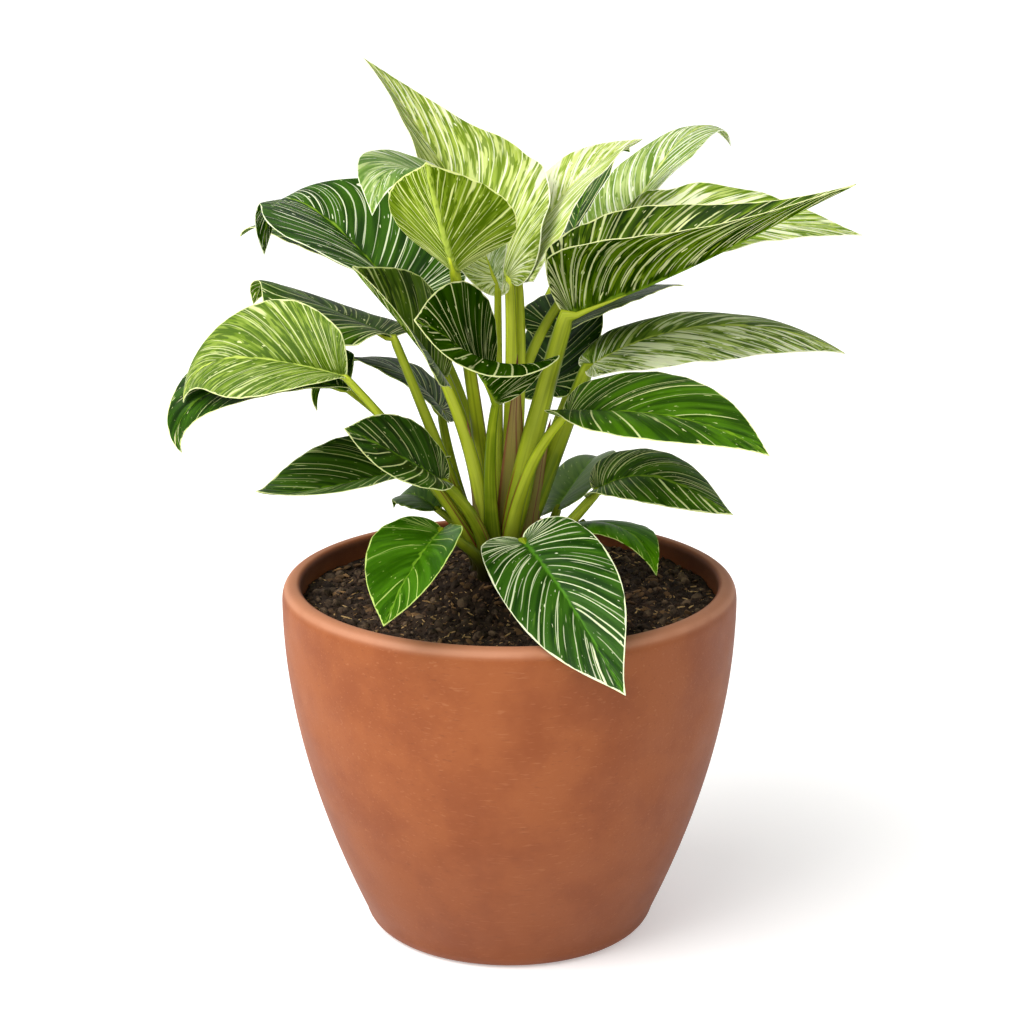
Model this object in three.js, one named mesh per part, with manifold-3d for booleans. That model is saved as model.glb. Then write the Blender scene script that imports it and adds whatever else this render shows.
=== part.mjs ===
// Philodendron Birkin growing in a terracotta pot.
//
// Millimetres, +Z up, +Y away from the front. The origin is the centre of the pot's underside.
// The pot holds the soil, the soil holds the stem, and every leaf stalk grows out of the stem.
// Each leaf blade is a solid of its own, set on the end of its stalk.

import * as THREE from 'three';
import { mergeVertices } from 'three/addons/utils/BufferGeometryUtils.js';
import Module from 'manifold-3d';

const wasm = await Module();
wasm.setup();

// ---- Driving dimensions ----------------------------------------------------------------------

const GAP = 0.3;

const RIM_DIAMETER = 250;
const POT_HEIGHT = 198;
const FOOT_DIAMETER = 144;
const FOOT_ROUNDING = 10;
const POT_WALL = 10.5;
const POT_FLOOR = 14;
const LIP_SHOULDER = 10;
const LIP_CREST_INSET = 7;
const LIP_INNER_ROUNDING = 4;
const POT_SIDES = 40;
const WALL_POINTS = 5;
const DRAIN_DIAMETER = 12;
const DRAIN_CIRCLE = 70;
const DRAIN_COUNT = 3;

const SOIL_LEVEL = 186;
const SOIL_BUMP = 2.2;
const SOIL_RINGS = 5;
const SOIL_SEED = 11;

const STEM_X = -7;
const STEM_Y = 4;
const STEM_DIAMETER = 36;
const STEM_FOOT = 110;
const STEM_TOP = 212;

const STALK_BASE_RADIUS = 5.8;
const STALK_TIP_RADIUS = 3;
const STALK_SIDES = 6;
const STALK_STEPS = 6;
const SHEATH_SPREAD = 1.25;
const LOWEST_STALK_ROOT = 196;
const HIGHEST_STALK_ROOT = 210;
const LOW_LEAF_HEIGHT = 230;
const HIGH_LEAF_HEIGHT = 370;

const BLADE_THICKNESS = 1.1;
const MIDRIB_DEPTH = 1.8;
const BLADE_ROWS = 11;
const BLADE_COLUMNS = 3;
const MIDRIB_STEPS = 60;

const HUSK_THICKNESS = 1.2;

// Room left between the end of a stalk and its blade.
const BLADE_SEAT = 0.9;

// Detail smaller than this is dropped where the stalks run into each other.
const SLIVER = 0.25;

// Half of the flat blade, from the notch at the stalk round the lobe to the tip:
// fractions of the length along the midrib and of the half width across it.
const HALF_BLADE = new THREE.SplineCurve([
  new THREE.Vector2(0, 0),
  new THREE.Vector2(-0.055, 0.1),
  new THREE.Vector2(-0.085, 0.32),
  new THREE.Vector2(-0.07, 0.58),
  new THREE.Vector2(0, 0.82),
  new THREE.Vector2(0.12, 0.96),
  new THREE.Vector2(0.28, 1),
  new THREE.Vector2(0.46, 0.9),
  new THREE.Vector2(0.64, 0.67),
  new THREE.Vector2(0.8, 0.38),
  new THREE.Vector2(0.92, 0.14),
  new THREE.Vector2(1, 0),
]);

// How every leaf is held. joint is the end of the stalk, where the blade's midrib starts, and
// knee is the point that bends the stalk on its way there. heading is the compass direction of
// the midrib seen from above, in degrees from +X, and swing turns it on the way to the tip.
// rise is its slope at the joint; droop lowers it evenly and hook only near the tip. roll and
// twist bank the blade. fold is the angle of both halves above the flat, at the joint and at
// the tip, and cup bends the left and the right half between midrib and margin. taper narrows
// the outer part, lobes lengthens or shortens the two lobes behind the joint, and neck narrows the
// left and the right half beside it. ripple is the height of the margin's waves and waves their
// number.
const USUAL = {
  stalk: 1, ripple: 0, waves: 3, taper: 0.1, lobes: 0.8, neck: [0, 0], swing: 0, hook: 0,
};

const LEAVES = {
  crest: {
    joint: [0, 12, 361], knee: [3, 7, 299],
    length: 170, width: 94, heading: 117, swing: 26, rise: 35, droop: -16, hook: 15,
    roll: -42, twist: 53, fold: [48, 15], cup: [22, -16], taper: 0.23, lobes: 0.9,
    ripple: 2.5, waves: 4, stalk: 0.9,
  },
  hood: {
    joint: [-27, -88, 384], knee: [-14, 80, 240], stalk: 0.95,
    length: 111, width: 75, heading: -97, rise: 31, droop: -13,
    roll: 2, twist: -2, fold: [46, 47], cup: [-18, -9], taper: 0, lobes: 0.5,
  },
  drop: {
    joint: [-6, -29, 368], knee: [-6, 8, 305],
    length: 149, width: 77, heading: -162, swing: 67, rise: 74, droop: 84, hook: 47,
    roll: -19, twist: 28, fold: [22, 2], cup: [-8, 8], taper: 0, stalk: 0.6, neck: [0.9, 0.9], lobes: 0.3,
  },
  heart: {
    joint: [5, 17, 359], knee: [9, 13, 296],
    length: 136, width: 77, heading: 45, swing: 10, rise: 68, droop: 86, hook: -31,
    roll: -40, twist: 39, fold: [-6, 30], cup: [-3, -4], taper: -0.08, lobes: 0,
    ripple: 1.2, stalk: 0.8,
  },
  sail: {
    joint: [58, 95, 355], knee: [40, 92, 285],
    length: 146, width: 65, heading: 41, swing: 12, rise: 63, droop: 41, hook: 85,
    roll: -13, twist: 22, fold: [36, -19], cup: [-11, 6], taper: 0.18,
    ripple: 1, stalk: 0.8,
  },
  shade: {
    joint: [35, 147, 349], knee: [-2, 74, 303],
    length: 111, width: 60, heading: 61, swing: 3, rise: 74, droop: 78, hook: 16,
    roll: -42, twist: 25, fold: [-6, 32], cup: [-13, -1], stalk: 0.8,
  },
  lime: {
    joint: [46, 38, 366], knee: [-11, 9, 317],
    length: 152, width: 83, heading: -3, swing: 9, rise: 33, droop: 63, hook: -22,
    roll: 8, twist: 15, fold: [1, 13], cup: [8, -8], taper: 0.1,
    ripple: 1.5, waves: 5, stalk: 0.8,
  },
  channel: {
    joint: [30, -29, 351], knee: [6, -8, 262], stalk: 1.5,
    length: 164, width: 88, heading: 2, swing: -5, rise: 18, droop: -18, hook: 11,
    roll: -18, twist: 11, fold: [77, 17], cup: [15, -28], taper: 0.15, lobes: 0.3,
  },
  tuck: {
    joint: [25, 30, 328], knee: [11, 18, 276],
    length: 111, width: 61, heading: 44, swing: 4, rise: 22, droop: 30, hook: 2,
    roll: 0, twist: -7, fold: [30, -1], cup: [-8, -7], taper: 0.12, lobes: 0.9, stalk: 0.8,
  },
  pale_right: {
    joint: [42, 9, 314], knee: [20, 3, 258], stalk: 1.4,
    length: 150, width: 77, heading: 9, swing: -5, rise: 32, droop: 61,
    roll: 15, twist: 8, fold: [11, -13], cup: [-20, -1], taper: -0.01, lobes: 0.2,
    ripple: 1, hook: -1, neck: [0.75, 0.5],
  },
  dark_right: {
    joint: [29, -37, 298], knee: [2, -17, 263], stalk: 0.85,
    length: 133, width: 72, heading: -36, swing: -9, rise: 16, droop: 28, hook: 8,
    roll: 6, twist: 18, fold: [37, 3], cup: [-13, -18], taper: 0.01, lobes: 0.3, neck: [0.2, 0.5],
  },
  low_right: {
    joint: [48, 1, 247], knee: [25, -15, 224], stalk: 0.9,
    length: 98, width: 52, heading: -36, swing: -13, rise: 39, droop: 88, hook: -40,
    roll: 33, twist: -13, fold: [34, -28], cup: [-24, 1], taper: 0.05, lobes: 0.5, neck: [0, 0.5],
  },
  plain_back: {
    joint: [27, 25, 231], knee: [19, 12, 209], stalk: 0.8,
    length: 74, width: 49, heading: 56, swing: 24, rise: 32, droop: 33, hook: 39,
    roll: -26, twist: 22, fold: [11, 23], cup: [-22, -8], taper: 0, lobes: 0.7,
  },
  plain_right: {
    joint: [41, 22, 223], knee: [22, 14, 206], stalk: 0.8,
    length: 80, width: 41, heading: -49, swing: -23, rise: 17, droop: 41, hook: 23,
    roll: -6, twist: 0, fold: [7, 13], cup: [-14, -18],
  },
  back_right: {
    joint: [22, 39, 296], knee: [10, 24, 257],
    length: 99, width: 53, heading: 71, swing: 14, rise: 57, droop: 68, hook: 19,
    roll: -19, twist: 20, fold: [10, 13], cup: [-20, -6], taper: 0.05, stalk: 0.8,
  },
  front: {
    joint: [7, -61, 237], knee: [1, -32, 221], stalk: 0.9,
    length: 118, width: 62, heading: -59, swing: -5, rise: -19, droop: 20, hook: -14,
    roll: 16, twist: 30, fold: [18, 12], cup: [-8, -1], taper: -0.11, lobes: 0.6,
  },
  front_left: {
    joint: [-36, -52, 240], knee: [-11, -29, 219], stalk: 0.8,
    length: 102, width: 55, heading: -110, swing: 10, rise: -7, droop: 15, hook: -14,
    roll: 5, twist: -5, fold: [24, 4], cup: [12, 2], taper: 0, lobes: 0.7, neck: [0.75, 0.2],
  },
  dark_left: {
    joint: [-35, -35, 262], knee: [-9, -20, 232], stalk: 0.9,
    length: 95, width: 50, heading: -129, swing: 8, rise: 32, droop: 5, hook: 2,
    roll: -38, twist: -35, fold: [32, -11], cup: [4, 0], taper: -0.04, lobes: 0.6, neck: [0.75, 0.3],
  },
  low_left: {
    joint: [-50, 9, 258], knee: [-9, -24, 218], stalk: 0.9,
    length: 126, width: 68, heading: -136, swing: 13, rise: 1, droop: -3, hook: -18,
    roll: -8, twist: -1, fold: [34, 9], cup: [-2, -7], taper: 0.04,
  },
  small_left: {
    joint: [-40, 5, 236], knee: [-13, 4, 216], stalk: 0.7,
    length: 55, width: 30, heading: 123, swing: -5, rise: 12, droop: 35, hook: 41,
    roll: -17, twist: -7, fold: [30, 11], cup: [-10, -4], taper: 0.12, lobes: 0.7,
  },
  pale_left: {
    joint: [-85, -52, 323], knee: [-40, -44, 272],
    length: 119, width: 67, heading: 152, swing: -4, rise: 8, droop: 14, hook: 80,
    roll: -51, twist: -3, fold: [67, -8], cup: [-14, -11], taper: 0, lobes: 0.3, stalk: 0.7,
  },
  under_left: {
    joint: [-88, 10, 302], knee: [-37, 69, 247],
    length: 117, width: 65, heading: -176, swing: 6, rise: 15, droop: 36, hook: 99,
    roll: -19, twist: -32, fold: [28, 12], cup: [7, -15], taper: 0.09, lobes: 0.1, stalk: 0.7,
  },
  mid_left: {
    joint: [-38, 37, 282], knee: [-30, 16, 240],
    length: 109, width: 59, heading: 159, swing: -7, rise: 57, droop: 104, hook: 63,
    roll: 23, twist: -16, fold: [15, 4], cup: [-17, -1], taper: 0.52, stalk: 0.8,
  },
  back_left: {
    joint: [-62, -1, 333], knee: [-40, 22, 270],
    length: 147, width: 80, heading: 147, swing: -38, rise: 12, droop: 1, hook: 66,
    roll: 12, twist: 14, fold: [18, -3], cup: [-34, -11], taper: 0.53, lobes: 0, stalk: 0.85,
  },
  arch_left: {
    joint: [-55, 3, 349], knee: [-16, 2, 291],
    length: 178, width: 98, heading: 144, swing: -35, rise: 44, droop: 52, hook: 87,
    roll: -2, twist: -14, fold: [45, -4], cup: [-13, -2], taper: 0.48, stalk: 0.85,
  },
  far_left: {
    joint: [-69, 111, 346], knee: [-17, 58, 300],
    length: 141, width: 79, heading: 142, swing: -12, rise: 31, droop: 52, hook: 11,
    roll: -8, twist: -7, fold: [26, 5], cup: [-6, -7], taper: 0.19, stalk: 0.7,
  },
  fold_left: {
    joint: [-35, -15, 313], knee: [-11, -10, 255], stalk: 1,
    length: 122, width: 64, heading: -128, swing: 22, rise: 49, droop: 23, hook: -7,
    roll: -53, twist: -16, fold: [29, 48], cup: [-20, -8], lobes: 0.2, taper: 0.11, neck: [0.75, 0.5],
  },
  centre: {
    joint: [-7, -47, 308], knee: [-14, -12, 265],
    length: 129, width: 82, heading: -108, swing: -4, rise: 42, droop: 23,
    roll: -4, twist: -69, fold: [55, -6], cup: [-2, 24], taper: -0.09, stalk: 0.75,
  },
};

// Dried, pointed husks that once wrapped the young leaves, standing among the stalks.
const HUSKS = [
  { foot: [-1, -4, 203], tip: [5, -20, 328], width: 14, facing: -85 },
  { foot: [-13, -7, 205], tip: [-22, -15, 291], width: 9, facing: -110 },
  { foot: [8, -3, 205], tip: [22, -4, 289], width: 10, facing: -70 },
];

// ---- Small helpers ---------------------------------------------------------------------------

function radians(degrees) {
  return THREE.MathUtils.degToRad(degrees);
}

function seededRandom(seed) {
  let state = seed;
  return () => {
    state = (state * 1664525 + 1013904223) % 4294967296;
    return state / 4294967296;
  };
}

// A closed geometry with its shared vertices merged, ready for a boolean.
function welded(geometry) {
  const bare = geometry.clone();
  bare.deleteAttribute('normal');
  bare.deleteAttribute('uv');
  return mergeVertices(bare, 1e-4);
}

function solidOf(geometry) {
  const closed = welded(geometry);
  const mesh = new wasm.Mesh({
    numProp: 3,
    vertProperties: new Float32Array(closed.attributes.position.array),
    triVerts: new Uint32Array(closed.index.array),
  });
  return new wasm.Manifold(mesh);
}

function geometryOf(solid) {
  const mesh = solid.getMesh();
  const geometry = new THREE.BufferGeometry();
  geometry.setAttribute('position', new THREE.BufferAttribute(mesh.vertProperties, 3));
  geometry.setIndex(new THREE.BufferAttribute(mesh.triVerts, 1));
  geometry.computeVertexNormals();
  return geometry;
}

// The largest connected body of a solid: loose scraps left by a cut are dropped.
function largestBody(solid) {
  const bodies = solid.decompose();
  return bodies.reduce((best, body) => (body.volume() > best.volume() ? body : best));
}

// The same closed shape with every face moved outwards.
function swollen(geometry, distance) {
  const shape = welded(geometry);
  shape.computeVertexNormals();
  const position = shape.attributes.position;
  const normal = shape.attributes.normal;
  for (let i = 0; i < position.count; i += 1) {
    position.setXYZ(
      i,
      position.getX(i) + normal.getX(i) * distance,
      position.getY(i) + normal.getY(i) * distance,
      position.getZ(i) + normal.getZ(i) * distance,
    );
  }
  return shape;
}

function turned(profile, sides) {
  const geometry = new THREE.LatheGeometry(profile, sides);
  geometry.rotateX(Math.PI / 2);
  return geometry;
}

// ---- Pot -------------------------------------------------------------------------------------

// Outer face of the wall, from the top of the rounded foot to the shoulder of the lip.
function outerWall() {
  const foot = new THREE.Vector2(FOOT_DIAMETER / 2 + FOOT_ROUNDING, FOOT_ROUNDING);
  const shoulder = new THREE.Vector2(RIM_DIAMETER / 2, POT_HEIGHT - LIP_SHOULDER);
  const low = new THREE.Vector2(foot.x + 27, foot.y + 60);
  const high = new THREE.Vector2(shoulder.x, shoulder.y - 58);
  return new THREE.CubicBezierCurve(foot, low, high, shoulder);
}

// Inner face of the wall, from the lip down to the floor.
function innerWall() {
  const lip = new THREE.Vector2(RIM_DIAMETER / 2 - POT_WALL, POT_HEIGHT - LIP_INNER_ROUNDING);
  const floor = new THREE.Vector2(FOOT_DIAMETER / 2 - 4, POT_FLOOR);
  const high = new THREE.Vector2(lip.x, lip.y - 70);
  const low = new THREE.Vector2(floor.x + 26, floor.y + 36);
  return new THREE.CubicBezierCurve(lip, high, low, floor);
}

function quarterRound(from, corner, to, divisions) {
  return new THREE.QuadraticBezierCurve(from, corner, to).getPoints(divisions).slice(1, -1);
}

function potGeometry() {
  const outer = outerWall().getPoints(7);
  const inner = innerWall().getPoints(WALL_POINTS);
  const underside = new THREE.Vector2(FOOT_DIAMETER / 2, 0);
  const footCorner = new THREE.Vector2(FOOT_DIAMETER / 2 + FOOT_ROUNDING * 0.75, 0);
  const crest = new THREE.Vector2(RIM_DIAMETER / 2 - LIP_CREST_INSET, POT_HEIGHT);
  const shoulderCorner = new THREE.Vector2(RIM_DIAMETER / 2, POT_HEIGHT);
  const lipCorner = new THREE.Vector2(RIM_DIAMETER / 2 - POT_WALL, POT_HEIGHT);
  const profile = [
    new THREE.Vector2(0, 0),
    underside,
    ...quarterRound(underside, footCorner, outer[0], 3),
    ...outer,
    ...quarterRound(outer[outer.length - 1], shoulderCorner, crest, 4),
    crest,
    ...quarterRound(crest, lipCorner, inner[0], 2),
    ...inner,
    new THREE.Vector2(0, POT_FLOOR),
  ];
  let body = solidOf(turned(profile, POT_SIDES));
  for (let i = 0; i < DRAIN_COUNT; i += 1) {
    const angle = (i * 2 * Math.PI) / DRAIN_COUNT + Math.PI / 6;
    const drain = new THREE.CylinderGeometry(DRAIN_DIAMETER / 2, DRAIN_DIAMETER / 2, POT_FLOOR * 3, 12);
    drain.rotateX(Math.PI / 2);
    drain.translate((Math.cos(angle) * DRAIN_CIRCLE) / 2, (Math.sin(angle) * DRAIN_CIRCLE) / 2, 0);
    body = body.subtract(solidOf(drain));
  }
  return geometryOf(body);
}

// ---- Soil ------------------------------------------------------------------------------------

// Fills the pot from its floor up; the top is uneven, and a plain hole takes the stem.
function soilGeometry() {
  const random = seededRandom(SOIL_SEED);
  const [lip, ...wall] = innerWall().getPoints(WALL_POINTS);
  const steps = wall.reverse().map((point) => new THREE.Vector2(point.x - GAP * 1.5, point.y + GAP));
  const highest = steps[steps.length - 1];
  const rise = (SOIL_LEVEL - highest.y) / (lip.y - highest.y);
  const topRadius = THREE.MathUtils.lerp(highest.x, lip.x - GAP * 1.5, rise);
  const profile = [
    new THREE.Vector2(0, POT_FLOOR + GAP),
    ...steps,
    new THREE.Vector2(topRadius, SOIL_LEVEL - SOIL_BUMP),
  ];
  for (let ring = 1; ring < SOIL_RINGS; ring += 1) {
    profile.push(new THREE.Vector2((topRadius * (SOIL_RINGS - ring)) / SOIL_RINGS, SOIL_LEVEL));
  }
  profile.push(new THREE.Vector2(0, SOIL_LEVEL));
  const ground = welded(turned(profile, POT_SIDES));
  const position = ground.attributes.position;
  for (let i = 0; i < position.count; i += 1) {
    const radius = Math.hypot(position.getX(i), position.getY(i));
    if (position.getZ(i) > SOIL_LEVEL - 0.5 && radius > STEM_DIAMETER) {
      position.setZ(i, SOIL_LEVEL + (random() - 0.4) * 2 * SOIL_BUMP);
    }
  }
  const hole = new THREE.CylinderGeometry(
    STEM_DIAMETER / 2 + GAP,
    STEM_DIAMETER / 2 + GAP,
    POT_HEIGHT,
    20,
  );
  hole.rotateX(Math.PI / 2);
  hole.translate(STEM_X, STEM_Y, STEM_FOOT - GAP + POT_HEIGHT / 2);
  return geometryOf(solidOf(ground).subtract(solidOf(hole)));
}

// ---- Crown: stem, stalks and husks, one living piece -------------------------------------------

function stemGeometry() {
  const radius = STEM_DIAMETER / 2;
  const profile = [
    new THREE.Vector2(0, STEM_FOOT),
    new THREE.Vector2(radius * 0.6, STEM_FOOT),
    new THREE.Vector2(radius, STEM_FOOT + 12),
    new THREE.Vector2(radius, STEM_TOP - 18),
    new THREE.Vector2(radius * 0.8, STEM_TOP - 6),
    new THREE.Vector2(radius * 0.4, STEM_TOP),
    new THREE.Vector2(0, STEM_TOP + 1),
  ];
  const stem = turned(profile, 20);
  stem.translate(STEM_X, STEM_Y, 0);
  return stem;
}

// Centre line of a stalk: it leaves the stem on the side that its leaf hangs to, the outer
// leaves lower and further out than the young ones in the middle.
function stalkCurve(leaf) {
  const joint = new THREE.Vector3(...leaf.joint);
  const outward = new THREE.Vector3(joint.x - STEM_X, joint.y - STEM_Y, 0).normalize();
  const height = THREE.MathUtils.smoothstep(joint.z, LOW_LEAF_HEIGHT - 40, HIGH_LEAF_HEIGHT + 40);
  const reach = THREE.MathUtils.lerp(0.66, 0.3, height) * (STEM_DIAMETER / 2);
  const root = new THREE.Vector3(
    STEM_X + outward.x * reach,
    STEM_Y + outward.y * reach,
    THREE.MathUtils.lerp(LOWEST_STALK_ROOT, HIGHEST_STALK_ROOT, height),
  );
  return new THREE.QuadraticBezierCurve3(root, new THREE.Vector3(...leaf.knee), joint);
}

function stalkGeometry(leaf) {
  const curve = stalkCurve(leaf);
  const start = curve.getPoint(0);
  const around = new THREE.Vector3(-(leaf.joint[1] - start.y), leaf.joint[0] - start.x, 0).normalize();
  const positions = [];
  const indices = [];
  for (let step = 0; step <= STALK_STEPS; step += 1) {
    const u = step / STALK_STEPS;
    const centre = curve.getPoint(u);
    const along = curve.getTangent(u);
    const side = around.clone().addScaledVector(along, -along.dot(around)).normalize();
    const back = new THREE.Vector3().crossVectors(along, side);
    const slim = THREE.MathUtils.lerp(STALK_BASE_RADIUS, STALK_TIP_RADIUS, u ** 0.6);
    const radius = slim * leaf.stalk ** Math.min(1, u * 3);
    const spread = THREE.MathUtils.lerp(SHEATH_SPREAD, 1, u);
    for (let k = 0; k < STALK_SIDES; k += 1) {
      const angle = (k * 2 * Math.PI) / STALK_SIDES;
      const point = centre.clone();
      point.addScaledVector(side, Math.cos(angle) * radius * spread);
      point.addScaledVector(back, Math.sin(angle) * radius);
      positions.push(point.x, point.y, point.z);
    }
  }
  const ring = (step, k) => step * STALK_SIDES + (k % STALK_SIDES);
  for (let step = 0; step < STALK_STEPS; step += 1) {
    for (let k = 0; k < STALK_SIDES; k += 1) {
      indices.push(ring(step, k), ring(step, k + 1), ring(step + 1, k + 1));
      indices.push(ring(step, k), ring(step + 1, k + 1), ring(step + 1, k));
    }
  }
  for (let k = 1; k < STALK_SIDES - 1; k += 1) {
    indices.push(ring(0, 0), ring(0, k + 1), ring(0, k));
    indices.push(ring(STALK_STEPS, 0), ring(STALK_STEPS, k), ring(STALK_STEPS, k + 1));
  }
  const geometry = new THREE.BufferGeometry();
  geometry.setAttribute('position', new THREE.Float32BufferAttribute(positions, 3));
  geometry.setIndex(indices);
  return geometry;
}

// A lance-shaped husk: a flat extrusion leaning from its foot to its tip.
function huskGeometry(husk) {
  const foot = new THREE.Vector3(...husk.foot);
  const lean = new THREE.Vector3(...husk.tip).sub(foot);
  const height = lean.length();
  const half = husk.width / 2;
  const outline = new THREE.Shape();
  outline.moveTo(-half, -4);
  outline.lineTo(half, -4);
  outline.quadraticCurveTo(half * 1.1, height * 0.6, 0, height);
  outline.quadraticCurveTo(-half * 1.1, height * 0.6, -half, -4);
  const sheet = new THREE.ExtrudeGeometry(outline, {
    depth: HUSK_THICKNESS,
    bevelEnabled: false,
    curveSegments: 6,
  });
  sheet.translate(0, 0, -HUSK_THICKNESS / 2);
  const facing = new THREE.Vector3(Math.cos(radians(husk.facing)), Math.sin(radians(husk.facing)), 0);
  const up = lean.normalize();
  const across = new THREE.Vector3().crossVectors(up, facing).normalize();
  const outward = new THREE.Vector3().crossVectors(across, up);
  sheet.applyMatrix4(new THREE.Matrix4().makeBasis(across, up, outward).setPosition(foot));
  return sheet;
}

function crownGeometry(leaves, blades) {
  let crown = solidOf(stemGeometry());
  for (const leaf of leaves) {
    crown = crown.add(solidOf(stalkGeometry(leaf)));
  }
  for (const husk of HUSKS) {
    crown = crown.add(solidOf(huskGeometry(husk)));
  }
  crown = crown.simplify(SLIVER);
  for (const blade of blades) {
    crown = crown.subtract(solidOf(swollen(blade, BLADE_SEAT)));
  }
  return geometryOf(largestBody(crown));
}

// ---- Leaf blades -----------------------------------------------------------------------------

// Direction of the midrib at a fraction of its length.
function midribDirection(leaf, fraction) {
  const heading = radians(leaf.heading + leaf.swing * fraction);
  const slope = radians(leaf.rise - leaf.droop * fraction - leaf.hook * fraction ** 4);
  return new THREE.Vector3(
    Math.cos(slope) * Math.cos(heading),
    Math.cos(slope) * Math.sin(heading),
    Math.sin(slope),
  );
}

// Point of the midrib at a fraction of its length; before the joint it goes straight back.
function midribPoint(leaf, fraction) {
  const point = new THREE.Vector3(...leaf.joint);
  if (fraction <= 0) {
    return point.addScaledVector(midribDirection(leaf, 0), fraction * leaf.length);
  }
  const steps = Math.ceil(fraction * MIDRIB_STEPS);
  for (let i = 0; i < steps; i += 1) {
    const middle = ((i + 0.5) / steps) * fraction;
    point.addScaledVector(midribDirection(leaf, middle), (fraction / steps) * leaf.length);
  }
  return point;
}

// Point of the blade at a place of the flat outline: along and across are fractions of the
// length and of the half width, and half is 1 on the left of the midrib and -1 on the right.
function bladePoint(leaf, along, across, half) {
  const fraction = THREE.MathUtils.clamp(along, 0, 1);
  const forward = midribDirection(leaf, fraction);
  const heading = radians(leaf.heading + leaf.swing * fraction);
  const level = new THREE.Vector3(-Math.sin(heading), Math.cos(heading), 0);
  const above = new THREE.Vector3().crossVectors(forward, level);
  const bank = radians(leaf.roll + leaf.twist * fraction);
  const side = level.clone().multiplyScalar(Math.cos(bank)).addScaledVector(above, Math.sin(bank));
  const up = above.clone().multiplyScalar(Math.cos(bank)).addScaledVector(level, -Math.sin(bank));

  const outer = THREE.MathUtils.clamp((along - 0.3) / 0.7, 0, 1);
  const base = THREE.MathUtils.clamp((0.3 - along) / 0.4, 0, 1);
  const neck = (half > 0 ? leaf.neck[0] : leaf.neck[1]) * base ** 2 * (3 - 2 * base);
  const reach = across * (1 - leaf.taper * Math.sin(Math.PI * outer ** 1.5)) * (1 - neck);
  const distance = (reach * leaf.width) / 2;
  const fold = THREE.MathUtils.lerp(leaf.fold[0], leaf.fold[1], fraction);
  const angle = radians(fold + (half > 0 ? leaf.cup[0] : leaf.cup[1]) * reach);
  const phase = leaf.waves * along + (half > 0 ? 0 : 0.25);
  const wave = leaf.ripple * Math.sin(2 * Math.PI * phase) * THREE.MathUtils.clamp(reach, 0, 1) ** 2;

  const point = midribPoint(leaf, along);
  point.addScaledVector(side, half * distance * Math.cos(angle));
  point.addScaledVector(up, distance * Math.sin(angle) + wave);
  return point;
}

// Place on the flat half blade: row runs from the notch round to the tip, 0 to 1, and column
// from the midrib to the margin along the vein that ends at that row.
function veinPlace(leaf, row, column) {
  const end = HALF_BLADE.getPoint(row);
  if (end.x < 0) {
    end.x *= leaf.lobes;
  }
  const root = new THREE.Vector2(0.97 * THREE.MathUtils.clamp((row - 0.06) / 0.94, 0, 1) ** 1.15, 0);
  const bend = new THREE.Vector2(root.x + (end.x - root.x) * 0.35, end.y * 0.62);
  return new THREE.QuadraticBezierCurve(root, bend, end).getPoint(column);
}

// The middle surface of the blade. Both halves share the midrib, the joint and the tip.
function bladeSheet(leaf) {
  const positions = [];
  const indices = [];
  const known = new Map();
  const vertex = (half, row, column) => {
    const shared = column === 0 || row === 0 || row === BLADE_ROWS;
    const key = `${row}/${row === 0 ? 0 : column}/${shared ? 0 : half}`;
    if (!known.has(key)) {
      const place = veinPlace(leaf, row / BLADE_ROWS, row === 0 ? 0 : column / BLADE_COLUMNS);
      const point = bladePoint(leaf, place.x, place.y, half);
      known.set(key, positions.length / 3);
      positions.push(point.x, point.y, point.z);
    }
    return known.get(key);
  };
  const face = (half, a, b, c) => indices.push(a, half > 0 ? b : c, half > 0 ? c : b);
  const margin = { 1: [], [-1]: [] };
  for (const half of [1, -1]) {
    for (let row = 0; row < BLADE_ROWS; row += 1) {
      for (let column = 0; column < BLADE_COLUMNS; column += 1) {
        const near = vertex(half, row, column);
        const next = vertex(half, row + 1, column);
        const nextOut = vertex(half, row + 1, column + 1);
        const nearOut = vertex(half, row, column + 1);
        face(half, near, next, nextOut);
        if (row > 0) {
          face(half, near, nextOut, nearOut);
        }
      }
    }
    for (let row = 0; row <= BLADE_ROWS; row += 1) {
      margin[half].push(vertex(half, row, BLADE_COLUMNS));
    }
  }
  const rib = [];
  for (let row = 0; row <= BLADE_ROWS; row += 1) {
    rib.push(vertex(1, row, 0));
  }
  return { positions, indices, margin, rib };
}

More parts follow.
